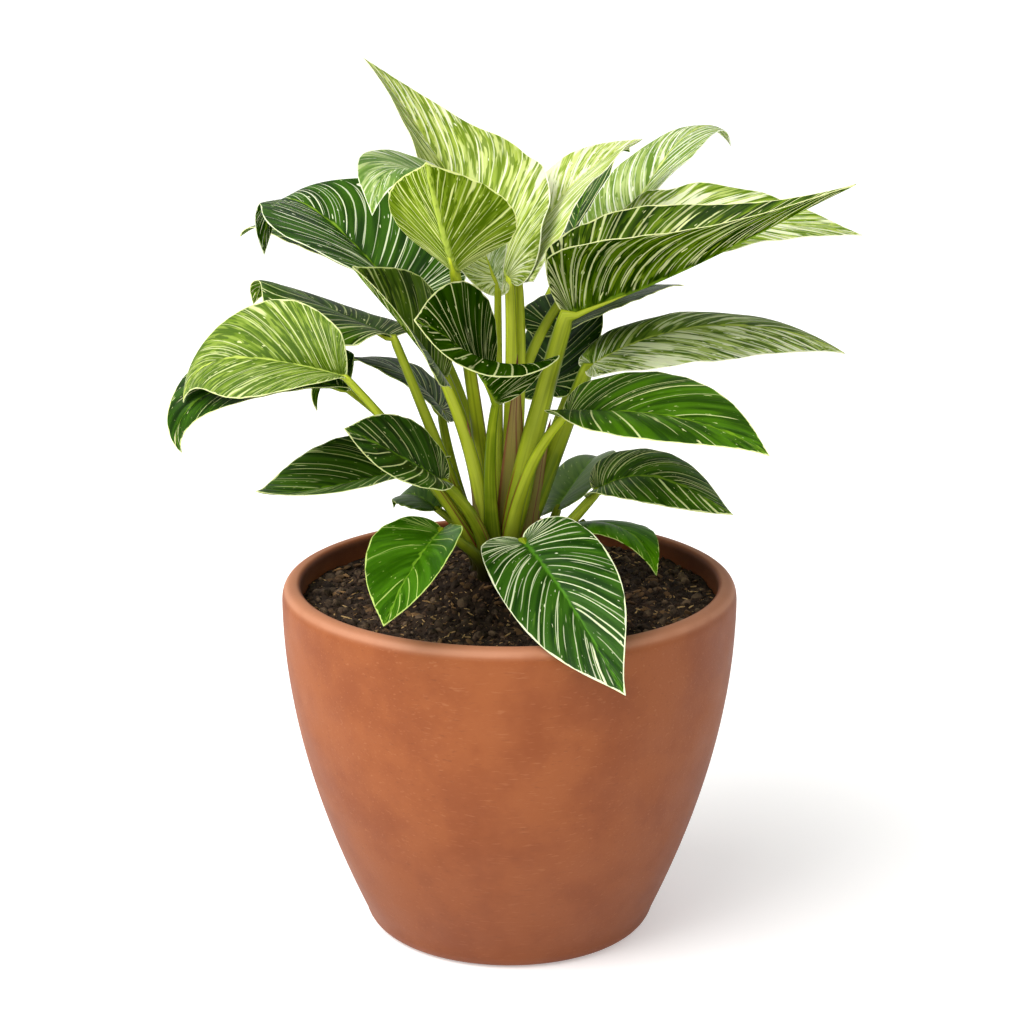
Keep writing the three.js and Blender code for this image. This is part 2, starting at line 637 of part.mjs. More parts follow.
// The blade as a closed solid: the sheet's upper and lower faces, with a ridge under the midrib
// that thins towards the tip, and a strip all round that closes the margin.
function bladeGeometry(leaf) {
  const { positions, indices, margin, rib } = bladeSheet(leaf);
  const sheet = new THREE.BufferGeometry();
  sheet.setAttribute('position', new THREE.Float32BufferAttribute(positions, 3));
  sheet.setIndex(indices);
  sheet.computeVertexNormals();
  const normals = sheet.attributes.normal.array;
  const count = positions.length / 3;
  const ridge = new Array(count).fill(0);
  rib.forEach((id, row) => {
    ridge[id] = MIDRIB_DEPTH * (1 - row / BLADE_ROWS);
  });
  const upper = [];
  const lower = [];
  for (let i = 0; i < count; i += 1) {
    for (let axis = 0; axis < 3; axis += 1) {
      const normal = normals[3 * i + axis];
      upper.push(positions[3 * i + axis] + (normal * BLADE_THICKNESS) / 2);
      lower.push(positions[3 * i + axis] - normal * (BLADE_THICKNESS / 2 + ridge[i]));
    }
  }
  const faces = [...indices];
  for (let i = 0; i < indices.length; i += 3) {
    faces.push(count + indices[i], count + indices[i + 2], count + indices[i + 1]);
  }
  for (let row = 0; row < BLADE_ROWS; row += 1) {
    const [a, b] = [margin[1][row], margin[1][row + 1]];
    faces.push(a, b, count + b, a, count + b, count + a);
    const [c, d] = [margin[-1][row], margin[-1][row + 1]];
    faces.push(d, c, count + c, d, count + c, count + d);
  }
  const blade = new THREE.BufferGeometry();
  blade.setAttribute('position', new THREE.Float32BufferAttribute([...upper, ...lower], 3));
  blade.setIndex(faces);
  blade.computeVertexNormals();
  return blade;
}

// ---- Materials -------------------------------------------------------------------------------

function terracotta() {
  return new THREE.MeshStandardMaterial({ color: 0xa4603f, roughness: 0.75, metalness: 0 });
}

function pottingSoil() {
  return new THREE.MeshStandardMaterial({ color: 0x3a2a20, roughness: 0.95, metalness: 0 });
}

function stalkGreen() {
  return new THREE.MeshStandardMaterial({ color: 0x8fa83f, roughness: 0.5, metalness: 0 });
}

const LEAF_GREENS = {
  pale: 0xc3d08a,
  striped: 0x47763a,
  plain: 0x3f8a35,
};

const PALE_LEAVES = ['crest', 'heart', 'sail', 'lime', 'pale_right', 'pale_left', 'hood'];
const PLAIN_LEAVES = ['plain_back', 'plain_right', 'small_left', 'front_left'];

function bladeGreen(name) {
  let color = LEAF_GREENS.striped;
  if (PALE_LEAVES.includes(name)) {
    color = LEAF_GREENS.pale;
  }
  if (PLAIN_LEAVES.includes(name)) {
    color = LEAF_GREENS.plain;
  }
  return new THREE.MeshStandardMaterial({ color, roughness: 0.4, metalness: 0 });
}

// ---- Assembly --------------------------------------------------------------------------------

function named(name, geometry, material) {
  const mesh = new THREE.Mesh(geometry, material);
  mesh.name = name;
  return mesh;
}

function plantInPot() {
  const plant = new THREE.Group();
  const names = Object.keys(LEAVES);
  const leaves = names.map((name) => ({ ...USUAL, ...LEAVES[name] }));
  const blades = leaves.map(bladeGeometry);
  plant.add(named('pot', potGeometry(), terracotta()));
  plant.add(named('soil', soilGeometry(), pottingSoil()));
  plant.add(named('crown', crownGeometry(leaves, blades), stalkGreen()));
  names.forEach((name, i) => plant.add(named(`leaf_${name}`, blades[i], bladeGreen(name))));
  return plant;
}

export default plantInPot();
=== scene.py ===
"""Philodendron Birkin in a terracotta pot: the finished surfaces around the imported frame.

Blender 4.5. Metres, +Z up, +Y away from the front. The leaves are laid out in millimetres and
degrees, as in the part's own source, and are scaled to metres when their meshes are made.
"""

import math

import bpy
import numpy as np
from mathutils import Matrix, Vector, noise


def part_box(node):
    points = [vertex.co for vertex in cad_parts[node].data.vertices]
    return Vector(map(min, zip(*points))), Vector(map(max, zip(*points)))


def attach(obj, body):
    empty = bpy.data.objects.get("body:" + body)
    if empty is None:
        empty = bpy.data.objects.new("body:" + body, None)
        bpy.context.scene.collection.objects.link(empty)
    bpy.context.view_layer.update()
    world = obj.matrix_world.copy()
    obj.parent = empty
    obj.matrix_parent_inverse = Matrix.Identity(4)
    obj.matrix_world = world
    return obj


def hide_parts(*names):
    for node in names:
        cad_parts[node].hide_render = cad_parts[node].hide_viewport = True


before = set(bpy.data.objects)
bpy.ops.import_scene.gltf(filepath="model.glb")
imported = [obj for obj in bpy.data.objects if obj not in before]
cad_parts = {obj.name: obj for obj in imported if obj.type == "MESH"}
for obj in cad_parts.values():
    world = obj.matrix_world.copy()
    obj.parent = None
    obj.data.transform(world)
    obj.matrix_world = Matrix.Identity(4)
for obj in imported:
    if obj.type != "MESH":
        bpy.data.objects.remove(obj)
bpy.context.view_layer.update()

bl_info = {
    "name": "Potted Birkin",
    "version": (1, 0, 0),
    "blender": (4, 5, 0),
    "location": "3D View > Sidebar > Birkin",
    "description": "Builds the leaves, stalks, soil and pot of a potted Philodendron Birkin",
    "category": "Add Mesh",
}

MM = 0.001
BODY = "root"

# ---- Places taken from the frame ---------------------------------------------------------------

POT_LOW, POT_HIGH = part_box("pot")
RIM_DIAMETER = POT_HIGH.x - POT_LOW.x
POT_HEIGHT = POT_HIGH.z - POT_LOW.z

# ---- Pot, millimetres --------------------------------------------------------------------------

FOOT_DIAMETER = 144
FOOT_ROUNDING = 10
POT_WALL = 10.5
POT_FLOOR = 14
LIP_SHOULDER = 10
LIP_CREST_INSET = 7
LIP_INNER_ROUNDING = 4
FLOOR_INSET = 4
# How far both ends of the wall's outer and inner curve pull it: out and up at the foot, down at
# the lip.
OUTER_FOOT_PULL = (27, 60)
OUTER_LIP_PULL = 58
INNER_FOOT_PULL = (26, 36)
INNER_LIP_PULL = 70
OUTER_STEPS = 34
INNER_STEPS = 24
FOOT_STEPS = 9
SHOULDER_STEPS = 10
LIP_STEPS = 8
POT_SIDES = 144
DRAIN_DIAMETER = 12
DRAIN_CIRCLE = 70
DRAIN_COUNT = 3
DRAIN_SIDES = 24
DRAIN_CUT = (-5.0, 20.0)

# ---- Soil and stem, millimetres ----------------------------------------------------------------

SOIL_LEVEL = 186
SOIL_GAP = 0.4
SOIL_HEAP = 19
SOIL_HEAP_REACH = 30
SOIL_GRAIN = 14
SOIL_SWELLS = 2.2
SOIL_GRAINS = 1.2
SOIL_SHADE = 0.45
LITTER_SHADE = 0.35
LITTER_LIGHT = 2.2
LITTER_CLEARANCE = 1.5
SOIL_RINGS = 60
SOIL_SIDES = 128
STEM_X = -7
STEM_Y = 4
STEM_DIAMETER = 36
STEM_TOP = 212
STEM_WAIST = 0.72
STEM_SIDES = 32
STEM_BURIED = 20
# The rounded end of the stem: shares of its radius and heights against its top.
STEM_END = ((1, -18), (0.92, -11), (0.75, -5), (0.4, 0), (0, 1))

# ---- Stalks, millimetres -----------------------------------------------------------------------

STALK_BASE_RADIUS = 5.8
STALK_TIP_RADIUS = 3
STALK_SIDES = 14
STALK_STEPS = 28
SHEATH_SPREAD = 1.25
LOWEST_STALK_ROOT = 196
HIGHEST_STALK_ROOT = 210
LOW_LEAF_HEIGHT = 230
HIGH_LEAF_HEIGHT = 370
LEAF_HEIGHT_BLEND = 40
# Shares of the stem's radius at which the lowest and the highest stalk leave it.
STALK_ROOT_REACH = (0.66, 0.3)
STALK_GROOVE = 0.12
# Where the stalk runs on under its blade, as fractions of the blade's length, and how slim it is
# there against its end.
UNDER_BLADE = (0.03, 0.07, 0.13, 0.2)
UNDER_BLADE_SLIMMING = (0.66, 0.46, 0.32, 0.16)
# Places round a stalk, from 0 to 1, of the dried margins of its sheath.
SHEATH_MARGINS = (0.04, 0.46, 0.96)
HUSK_THICKNESS = 0.6
HUSK_ROWS = 22
HUSK_COLUMNS = 8

# ---- Blades, millimetres -----------------------------------------------------------------------

BLADE_THICKNESS = 0.8
MIDRIB_DEPTH = 1.7
MIDRIB_WIDTH = 1.9
MIDRIB_GROOVE = 0.35
MIDRIB_FADE = 0.85
MIDRIB_LEAF_LENGTH = 130
MIDRIB_STEPS = 240
BLADE_ROWS = 56
BLADE_COLUMNS = (0, 0.03, 0.07, 0.12, 0.19, 0.28, 0.38, 0.48, 0.58, 0.68, 0.77, 0.85, 0.92, 0.97, 1)
MARGIN_FLUTTER = 0.35
# Small waves of the margin along a blade, and their shifts by half and by the blade's length.
FLUTTER_WAVES = (7.3, 0.37, 0.013)
MARGIN_SAMPLES = 160
MARGIN_THIN_SHARE = 0.35
MARGIN_THIN_WIDTH = 3
NECK_REACH = 0.3
NECK_WIDTH = 0.4
LAST_VEIN_ROOT = 0.97
# How far along and across the blade a side vein bends, as shares of its run.
VEIN_BEND = (0.35, 0.62)
FAN_STEP = 0.004
# Keeps the rows of the left and the right half apart in the vein map, positive and negative.
HALVES_APART = 0.02

# Half of the flat blade, from the notch at the stalk round the lobe to the tip:
# fractions of the length along the midrib and of the half width across it.
HALF_BLADE = np.array([
    (0, 0),
    (-0.055, 0.1),
    (-0.085, 0.32),
    (-0.07, 0.58),
    (0, 0.82),
    (0.12, 0.96),
    (0.28, 1),
    (0.46, 0.9),
    (0.64, 0.67),
    (0.8, 0.38),
    (0.92, 0.14),
    (1, 0),
])

# How every leaf is held. joint is the end of the stalk, where the blade's midrib starts, and
# knee is the point that bends the stalk on its way there. heading is the compass direction of
# the midrib seen from above, in degrees from +X, and swing turns it on the way to the tip.
# rise is its slope at the joint; droop lowers it evenly and hook only near the tip. roll and
# twist bank the blade. fold is the angle of both halves above the flat, at the joint and at
# the tip, and cup bends the left and the right half between midrib and margin. taper narrows
# the outer part, lobes lengthens or shortens the two lobes behind the joint, and neck narrows the
# left and the right half beside it. ripple is the height of the margin's waves and waves their
# number.
USUAL = dict(stalk=1, ripple=0, waves=3, taper=0.1, lobes=0.8, neck=(0, 0), swing=0, hook=0)

LEAVES = {
    "crest": dict(
        joint=(0, 12, 361), knee=(3, 7, 299),
        length=170, width=94, heading=117, swing=26, rise=35, droop=-16, hook=15,
        roll=-42, twist=53, fold=(48, 15), cup=(22, -16), taper=0.23, lobes=0.9,
        ripple=2.5, waves=4, stalk=0.9,
    ),
    "hood": dict(
        joint=(-27, -88, 384), knee=(-14, 80, 240), stalk=0.95,
        length=111, width=75, heading=-97, rise=31, droop=-13,
        roll=2, twist=-2, fold=(46, 47), cup=(-18, -9), taper=0, lobes=0.5,
    ),
    "drop": dict(
        joint=(-6, -29, 368), knee=(-6, 8, 305),
        length=149, width=77, heading=-162, swing=67, rise=74, droop=84, hook=47,
        roll=-19, twist=28, fold=(22, 2), cup=(-8, 8), taper=0, stalk=0.6, neck=(0.9, 0.9),
        lobes=0.3,
    ),
    "heart": dict(
        joint=(5, 17, 359), knee=(9, 13, 296),
        length=136, width=77, heading=45, swing=10, rise=68, droop=86, hook=-31,
        roll=-40, twist=39, fold=(-6, 30), cup=(-3, -4), taper=-0.08, lobes=0,
        ripple=1.2, stalk=0.8,
    ),
    "sail": dict(
        joint=(58, 95, 355), knee=(40, 92, 285),
        length=146, width=65, heading=41, swing=12, rise=63, droop=41, hook=85,
        roll=-13, twist=22, fold=(36, -19), cup=(-11, 6), taper=0.18,
        ripple=1, stalk=0.8,
    ),
    "shade": dict(
        joint=(35, 147, 349), knee=(-2, 74, 303),
        length=111, width=60, heading=61, swing=3, rise=74, droop=78, hook=16,
        roll=-42, twist=25, fold=(-6, 32), cup=(-13, -1), stalk=0.8,
    ),
    "lime": dict(
        joint=(46, 38, 366), knee=(-11, 9, 317),
        length=152, width=83, heading=-3, swing=9, rise=33, droop=63, hook=-22,
        roll=8, twist=15, fold=(1, 13), cup=(8, -8), taper=0.1,
        ripple=1.5, waves=5, stalk=0.8,
    ),
    "channel": dict(
        joint=(30, -29, 351), knee=(6, -8, 262), stalk=1.5,
        length=164, width=88, heading=2, swing=-5, rise=18, droop=-18, hook=11,
        roll=-18, twist=11, fold=(77, 17), cup=(15, -28), taper=0.15, lobes=0.3,
    ),
    "tuck": dict(
        joint=(25, 30, 328), knee=(11, 18, 276),
        length=111, width=61, heading=44, swing=4, rise=22, droop=30, hook=2,
        roll=0, twist=-7, fold=(30, -1), cup=(-8, -7), taper=0.12, lobes=0.9, stalk=0.8,
    ),
    "pale_right": dict(
        joint=(42, 9, 314), knee=(20, 3, 258), stalk=1.4,
        length=150, width=77, heading=9, swing=-5, rise=32, droop=61,
        roll=15, twist=8, fold=(11, -13), cup=(-20, -1), taper=-0.01, lobes=0.2,
        ripple=1, hook=-1, neck=(0.75, 0.5),
    ),
    "dark_right": dict(
        joint=(29, -37, 298), knee=(2, -17, 263), stalk=0.85,
        length=133, width=72, heading=-36, swing=-9, rise=16, droop=28, hook=8,
        roll=6, twist=18, fold=(37, 3), cup=(-13, -18), taper=0.01, lobes=0.3, neck=(0.2, 0.5),
    ),
    "low_right": dict(
        joint=(48, 1, 247), knee=(25, -15, 224), stalk=0.9,
        length=98, width=52, heading=-36, swing=-13, rise=39, droop=88, hook=-40,
        roll=33, twist=-13, fold=(34, -28), cup=(-24, 1), taper=0.05, lobes=0.5, neck=(0, 0.5),
    ),
    "plain_back": dict(
        joint=(27, 25, 231), knee=(19, 12, 209), stalk=0.8,
        length=74, width=49, heading=56, swing=24, rise=32, droop=33, hook=39,
        roll=-26, twist=22, fold=(11, 23), cup=(-22, -8), taper=0, lobes=0.7,
    ),
    "plain_right": dict(
        joint=(41, 22, 223), knee=(22, 14, 206), stalk=0.8,
        length=80, width=41, heading=-49, swing=-23, rise=17, droop=41, hook=23,
        roll=-6, twist=0, fold=(7, 13), cup=(-14, -18),
    ),
    "back_right": dict(
        joint=(22, 39, 296), knee=(10, 24, 257),
        length=99, width=53, heading=71, swing=14, rise=57, droop=68, hook=19,
        roll=-19, twist=20, fold=(10, 13), cup=(-20, -6), taper=0.05, stalk=0.8,
    ),
    "front": dict(
        joint=(7, -61, 237), knee=(1, -32, 221), stalk=0.9,
        length=118, width=62, heading=-59, swing=-5, rise=-19, droop=20, hook=-14,
        roll=16, twist=30, fold=(18, 12), cup=(-8, -1), taper=-0.11, lobes=0.6,
    ),
    "front_left": dict(
        joint=(-36, -52, 240), knee=(-11, -29, 219), stalk=0.8,
        length=102, width=55, heading=-110, swing=10, rise=-7, droop=15, hook=-14,
        roll=5, twist=-5, fold=(24, 4), cup=(12, 2), taper=0, lobes=0.7, neck=(0.75, 0.2),
    ),
    "dark_left": dict(
        joint=(-35, -35, 262), knee=(-9, -20, 232), stalk=0.9,
        length=95, width=50, heading=-129, swing=8, rise=32, droop=5, hook=2,
        roll=-38, twist=-35, fold=(32, -11), cup=(4, 0), taper=-0.04, lobes=0.6, neck=(0.75, 0.3),
    ),
    "low_left": dict(
        joint=(-50, 9, 258), knee=(-9, -24, 218), stalk=0.9,
        length=126, width=68, heading=-136, swing=13, rise=1, droop=-3, hook=-18,
        roll=-8, twist=-1, fold=(34, 9), cup=(-2, -7), taper=0.04,
    ),
    "small_left": dict(
        joint=(-40, 5, 236), knee=(-13, 4, 216), stalk=0.7,
        length=55, width=30, heading=123, swing=-5, rise=12, droop=35, hook=41,
        roll=-17, twist=-7, fold=(30, 11), cup=(-10, -4), taper=0.12, lobes=0.7,
    ),
    "pale_left": dict(
        joint=(-85, -52, 323), knee=(-40, -44, 272),
        length=119, width=67, heading=152, swing=-4, rise=8, droop=14, hook=80,
        roll=-51, twist=-3, fold=(67, -8), cup=(-14, -11), taper=0, lobes=0.3, stalk=0.7,
    ),
    "under_left": dict(
        joint=(-88, 10, 302), knee=(-37, 69, 247),
        length=117, width=65, heading=-176, swing=6, rise=15, droop=36, hook=99,
        roll=-19, twist=-32, fold=(28, 12), cup=(7, -15), taper=0.09, lobes=0.1, stalk=0.7,
    ),
    "mid_left": dict(
        joint=(-38, 37, 282), knee=(-30, 16, 240),
        length=109, width=59, heading=159, swing=-7, rise=57, droop=104, hook=63,
        roll=23, twist=-16, fold=(15, 4), cup=(-17, -1), taper=0.52, stalk=0.8,
    ),
    "back_left": dict(
        joint=(-62, -1, 333), knee=(-40, 22, 270),
        length=147, width=80, heading=147, swing=-38, rise=12, droop=1, hook=66,
        roll=12, twist=14, fold=(18, -3), cup=(-34, -11), taper=0.53, lobes=0, stalk=0.85,
    ),
    "arch_left": dict(
        joint=(-55, 3, 349), knee=(-16, 2, 291),
        length=178, width=98, heading=144, swing=-35, rise=44, droop=52, hook=87,
        roll=-2, twist=-14, fold=(45, -4), cup=(-13, -2), taper=0.48, stalk=0.85,
    ),
    "far_left": dict(
        joint=(-69, 111, 346), knee=(-17, 58, 300),
        length=141, width=79, heading=142, swing=-12, rise=31, droop=52, hook=11,
        roll=-8, twist=-7, fold=(26, 5), cup=(-6, -7), taper=0.19, stalk=0.7,
    ),
    "fold_left": dict(
        joint=(-35, -15, 313), knee=(-11, -10, 255), stalk=1,
        length=122, width=64, heading=-128, swing=22, rise=49, droop=23, hook=-7,
        roll=-53, twist=-16, fold=(29, 48), cup=(-20, -8), lobes=0.2, taper=0.11, neck=(0.75, 0.5),
    ),
    "centre": dict(
        joint=(-7, -47, 308), knee=(-14, -12, 265),
        length=129, width=82, heading=-108, swing=-4, rise=42, droop=23,
        roll=-4, twist=-69, fold=(55, -6), cup=(-2, 24), taper=-0.09, stalk=0.75,
    ),
}

# Dried, pointed husks that once wrapped the young leaves, standing among the stalks.
HUSKS = (
    dict(foot=(-1, -4, 203), tip=(5, -20, 328), width=14, facing=-85),
    dict(foot=(-13, -7, 205), tip=(-22, -15, 291), width=9, facing=-110),
    dict(foot=(8, -3, 205), tip=(22, -4, 289), width=10, facing=-70),
)

# ---- Colours -----------------------------------------------------------------------------------


def paint(red, green, blue):
    """A colour of a paint chart, 0 to 255, as the linear colour that a shader needs."""
    parts = []
    for value in (red, green, blue):
        value /= 255
        parts.append(value / 12.92 if value <= 0.04045 else ((value + 0.055) / 1.055) ** 2.4)
    return (*parts, 1.0)


def lit(colour, share):
    """The colour with that share of its light."""
    return (*(min(1, share * value) for value in colour[:3]), 1)


# How a blade is striped. deep and leaf are the greens of the ground, pale its lighter streaks, band
# the tone along the midrib and cream that of the stripes. bold and fine are the parts of its lanes
# that hold a cream line; flecks, streaks, pale_share and dashes the parts of it under short cream
# flecks, broad cream streaks, lighter green streaks and short dark dashes, from none at 0 to all of
# it at 1. line widens or thins the lines. one_side adds to the left half what it takes from the
# right one. rib is the width of the light band along the midrib, rib_clear that of the zone beside
# it where no line starts and margin that of the cream edge, all in millimetres; tip_clear thins the
# lines out towards the tip. under lightens the underside and veins is the depth of the side veins.
# USUAL_FINISH holds what every kind has unless it says otherwise.
USUAL_FINISH = dict(
    streaks=0, dashes=0, one_side=0, rib=2.2, rib_clear=0, tip_clear=0, sheen=0.08, under=0.08,
    veins=0.8,
)

FINISHES = {
    "striped": dict(
        deep=paint(22, 46, 0), leaf=paint(52, 88, 6), pale=paint(92, 128, 22),
        band=paint(116, 150, 36), cream=paint(226, 232, 166),
        lanes=26, bold=0.88, fine=0.22, flecks=0.04, pale_share=0.16, line=0.9,
        margin=0.65, rough=0.42, slot="striped_leaf",
    ),
    "dark": dict(
        deep=paint(18, 44, 0), leaf=paint(44, 82, 4), pale=paint(74, 116, 14),
        band=paint(100, 140, 26), cream=paint(218, 226, 158),
        lanes=25, bold=0.75, fine=0.15, flecks=0.03, pale_share=0.12, line=0.85,
        rib=1.9, tip_clear=0.2, margin=0.6, rough=0.4, under=0.05, slot="striped_leaf",
    ),
    "plain": dict(
        deep=paint(36, 76, 0), leaf=paint(62, 112, 8), pale=paint(88, 138, 20),
        band=paint(116, 158, 40), cream=paint(190, 210, 116),
        lanes=24, bold=0, fine=0.05, flecks=0, pale_share=0.1, line=0.7,
        rib=1.8, margin=0.3, rough=0.34, sheen=0.15, under=0.2, veins=0.25, slot="plain_leaf",
    ),
    "lime": dict(
        deep=paint(84, 116, 8), leaf=paint(128, 158, 26), pale=paint(168, 190, 66),
        band=paint(190, 208, 92), cream=paint(224, 232, 160),
        lanes=32, bold=0.75, fine=0.5, flecks=0.05, streaks=0.12, pale_share=0.42, dashes=0.36,
        line=0.95, margin=0.7, rough=0.46, slot="pale_leaf",
    ),
    "cream": dict(
        deep=paint(112, 146, 26), leaf=paint(166, 188, 66), pale=paint(204, 216, 122),
        band=paint(212, 222, 132), cream=paint(236, 240, 190),
        lanes=32, bold=0.85, fine=0.5, flecks=0.1, streaks=0.3, pale_share=0.5, dashes=0.26,
        line=1.3, margin=0.8, rough=0.5, sheen=0.06, under=0.05, slot="pale_leaf",
    ),
}

# The finish of every blade and where it differs from the usual one of its kind.
BLADE_LOOKS = {
    # Painted light: the high under and one_side lighten the underside and left half, which lie in
    # shade.
    "crest": ("lime", dict(
        deep=paint(96, 122, 18), leaf=paint(152, 172, 64), pale=paint(202, 212, 130),
        cream=paint(238, 242, 204), bold=0.9, streaks=0.2, pale_share=0.5, dashes=0.42, fine=0.5,
        line=1.4, under=0.8, one_side=0.03,
    )),
    "hood": ("lime", dict(
        deep=paint(70, 96, 6), leaf=paint(120, 146, 32), pale=paint(156, 176, 64),
        band=paint(186, 206, 84), cream=paint(220, 228, 144), lanes=22, bold=0.95, fine=0.35,
        rib=4.2, streaks=0.12, pale_share=0.3, dashes=0.36, line=1.9, under=0,
    )),
    "drop": ("striped", dict(
        deep=paint(76, 112, 34), leaf=paint(118, 150, 66), pale=paint(178, 196, 126),
        cream=paint(232, 238, 204), lanes=30, fine=0.5, streaks=0.2, pale_share=0.4, under=0.6,
        tip_clear=0.5,
    )),
    # Painted light: the high under and one_side lighten the underside and left half, which lie in
    # shade.
    "heart": ("cream", dict(
        deep=paint(122, 150, 36), leaf=paint(170, 188, 84), pale=paint(206, 216, 138),
        cream=paint(242, 244, 212), streaks=0.3, dashes=0.34, under=1, one_side=0.04,
    )),
    "sail": ("cream", dict(
        deep=paint(94, 126, 40), leaf=paint(144, 166, 84), pale=paint(184, 200, 130),
        cream=paint(238, 242, 216), streaks=0.24, dashes=0.36, pale_share=0.4, line=1.5, under=0.3,
    )),
    "shade": ("dark", dict(bold=0.75, fine=0.15)),
    "lime": ("lime", dict(
        deep=paint(84, 114, 16), leaf=paint(136, 162, 48), pale=paint(188, 204, 112),
        cream=paint(236, 240, 202), streaks=0.34, line=1.6,
    )),
    "channel": ("striped", dict(
        leaf=paint(74, 104, 6), pale=paint(118, 144, 28), lanes=34, bold=0.95, fine=0.35,
        streaks=0.14, pale_share=0.3, dashes=0.34, line=1.3, under=0,
    )),
    "tuck": ("dark", dict(bold=0.6, fine=0.05, line=0.7)),
    "pale_right": ("lime", dict(
        deep=paint(60, 90, 8), leaf=paint(122, 150, 46), pale=paint(172, 190, 104),
        cream=paint(236, 240, 206), lanes=26, fine=0.3, streaks=0.28, pale_share=0.42,
        dashes=0.34, line=1.4, one_side=-0.12,
    )),
    "dark_right": ("dark", dict(
        deep=paint(32, 64, 0), leaf=paint(66, 110, 4), pale=paint(96, 140, 20),
        band=paint(112, 152, 26), rib=2.8, tip_clear=0.9, line=0.9, bold=0.85,
    )),
    "low_right": ("striped", dict(
        deep=paint(30, 60, 2), leaf=paint(66, 104, 14), line=1, bold=0.85, fine=0.45,
    )),
    "plain_back": ("plain", dict(
        deep=paint(74, 112, 18), leaf=paint(98, 134, 34), pale=paint(132, 160, 70), fine=0,
        pale_share=0.05, sheen=0.15, under=0,
    )),
    "plain_right": ("plain", dict(
        deep=paint(50, 96, 0), leaf=paint(76, 128, 8), fine=0, pale_share=0, sheen=0.02, under=0,
    )),
    "back_right": ("dark", dict(bold=0.5, fine=0.05, line=0.7)),
    "front": ("striped", dict(
        deep=paint(22, 54, 4), leaf=paint(48, 88, 14), pale=paint(74, 114, 28),
        band=paint(78, 132, 28), rib=3, rib_clear=0.6, tip_clear=0.3, lanes=30, bold=0.95,
        fine=0.4, line=0.92, cream=paint(230, 238, 194),
    )),
    "front_left": ("plain", dict(
        deep=paint(38, 80, 0), leaf=paint(64, 112, 10), lanes=20, bold=0.45, fine=0.1, margin=0.6,
        line=0.6,
    )),
    "dark_left": ("dark", dict(tip_clear=0.5)),
    "low_left": ("dark", dict(
        deep=paint(28, 58, 2), leaf=paint(62, 98, 14), lanes=30, bold=0.8, fine=0.4,
    )),
    "small_left": ("plain", dict(
        deep=paint(58, 96, 12), leaf=paint(84, 122, 28), fine=0, pale_share=0.05, sheen=0.08,
        under=0,
    )),
    "pale_left": ("lime", dict(
        deep=paint(66, 94, 6), leaf=paint(100, 128, 22), pale=paint(138, 160, 60),
        cream=paint(206, 214, 150), streaks=0.08, dashes=0.44, bold=0.7, fine=0.5, line=0.8,
        pale_share=0.46, sheen=0.2,
    )),
    "under_left": ("dark", dict(bold=0.5)),
    "mid_left": ("dark", dict(leaf=paint(56, 92, 6), under=0.4)),
    "back_left": ("striped", dict(leaf=paint(62, 96, 6), under=0.3)),
    "arch_left": ("striped", dict(
        deep=paint(20, 48, 2), leaf=paint(48, 86, 8), cream=paint(226, 234, 196), lanes=36,
        bold=0.95, fine=0.3, pale_share=0.12, sheen=0.04, line=0.8,
    )),
    "far_left": ("striped", {}),
    "fold_left": ("striped", dict(
        deep=paint(34, 60, 0), leaf=paint(82, 114, 14), pale=paint(134, 160, 50), pale_share=0.3,
    )),
    "centre": ("striped", dict(
        deep=paint(20, 46, 0), leaf=paint(42, 74, 2), pale=paint(70, 104, 10), fine=0.12, bold=0.85,
        sheen=0, under=0,
    )),
}

# How lime each stalk is: 0 is deep green and 1 pale lime.
STALK_TONES = dict(
    crest=0.95, hood=0.8, drop=0.5, heart=0.85, sail=0.6, shade=0.4, lime=0.5, channel=0.45,
    tuck=0.4, pale_right=0.12, dark_right=0.5, low_right=0.3, plain_back=0.2, plain_right=0.2,
    back_right=0.3, front=0.05, front_left=0.1, dark_left=0.15, low_left=0.15, small_left=0.2,
    pale_left=0.5, under_left=0.4, mid_left=0.2, back_left=0.55, arch_left=0.4, far_left=0.3,
    fold_left=0.7, centre=0.15,
)

# ---- Settings ----------------------------------------------------------------------------------


class BirkinPotSettings(bpy.types.PropertyGroup):
    rim_diameter: bpy.props.FloatProperty(
        name="Rim diameter", description="Outer diameter of the lip",
        default=RIM_DIAMETER, unit="LENGTH",
    )
    height: bpy.props.FloatProperty(
        name="Height", description="From the flat underside to the crest of the lip",
        default=POT_HEIGHT, unit="LENGTH",
    )
    clay: bpy.props.FloatVectorProperty(
        name="Clay", description="Fired clay where it is evenly burnt",
        default=paint(152, 84, 42), size=4, subtype="COLOR", min=0, max=1,
    )
    burnt: bpy.props.FloatVectorProperty(
        name="Burnt clay", description="Darker clouds in the fired clay",
        default=paint(138, 72, 34), size=4, subtype="COLOR", min=0, max=1,
    )


class BirkinSoilSettings(bpy.types.PropertyGroup):
    crumbs: bpy.props.FloatProperty(
        name="Crumbs", description="Soil crumbs on a square metre", default=120000, min=0,
    )
    lumps: bpy.props.FloatProperty(
        name="Lumps", description="Larger lumps on a square metre", default=16000, min=0,
    )
    chips: bpy.props.FloatProperty(
        name="Bark chips", description="Bark chips on a square metre", default=11000, min=0,
    )
    fibres: bpy.props.FloatProperty(
        name="Fibres", description="Root fibres and splinters on a square metre",
        default=30000, min=0,
    )
    soil: bpy.props.FloatVectorProperty(
        name="Soil", description="Moist potting soil",
        default=paint(58, 43, 32), size=4, subtype="COLOR", min=0, max=1,
    )
    bark: bpy.props.FloatVectorProperty(
        name="Bark", description="Bark chips in the soil",
        default=paint(158, 120, 78), size=4, subtype="COLOR", min=0, max=1,
    )


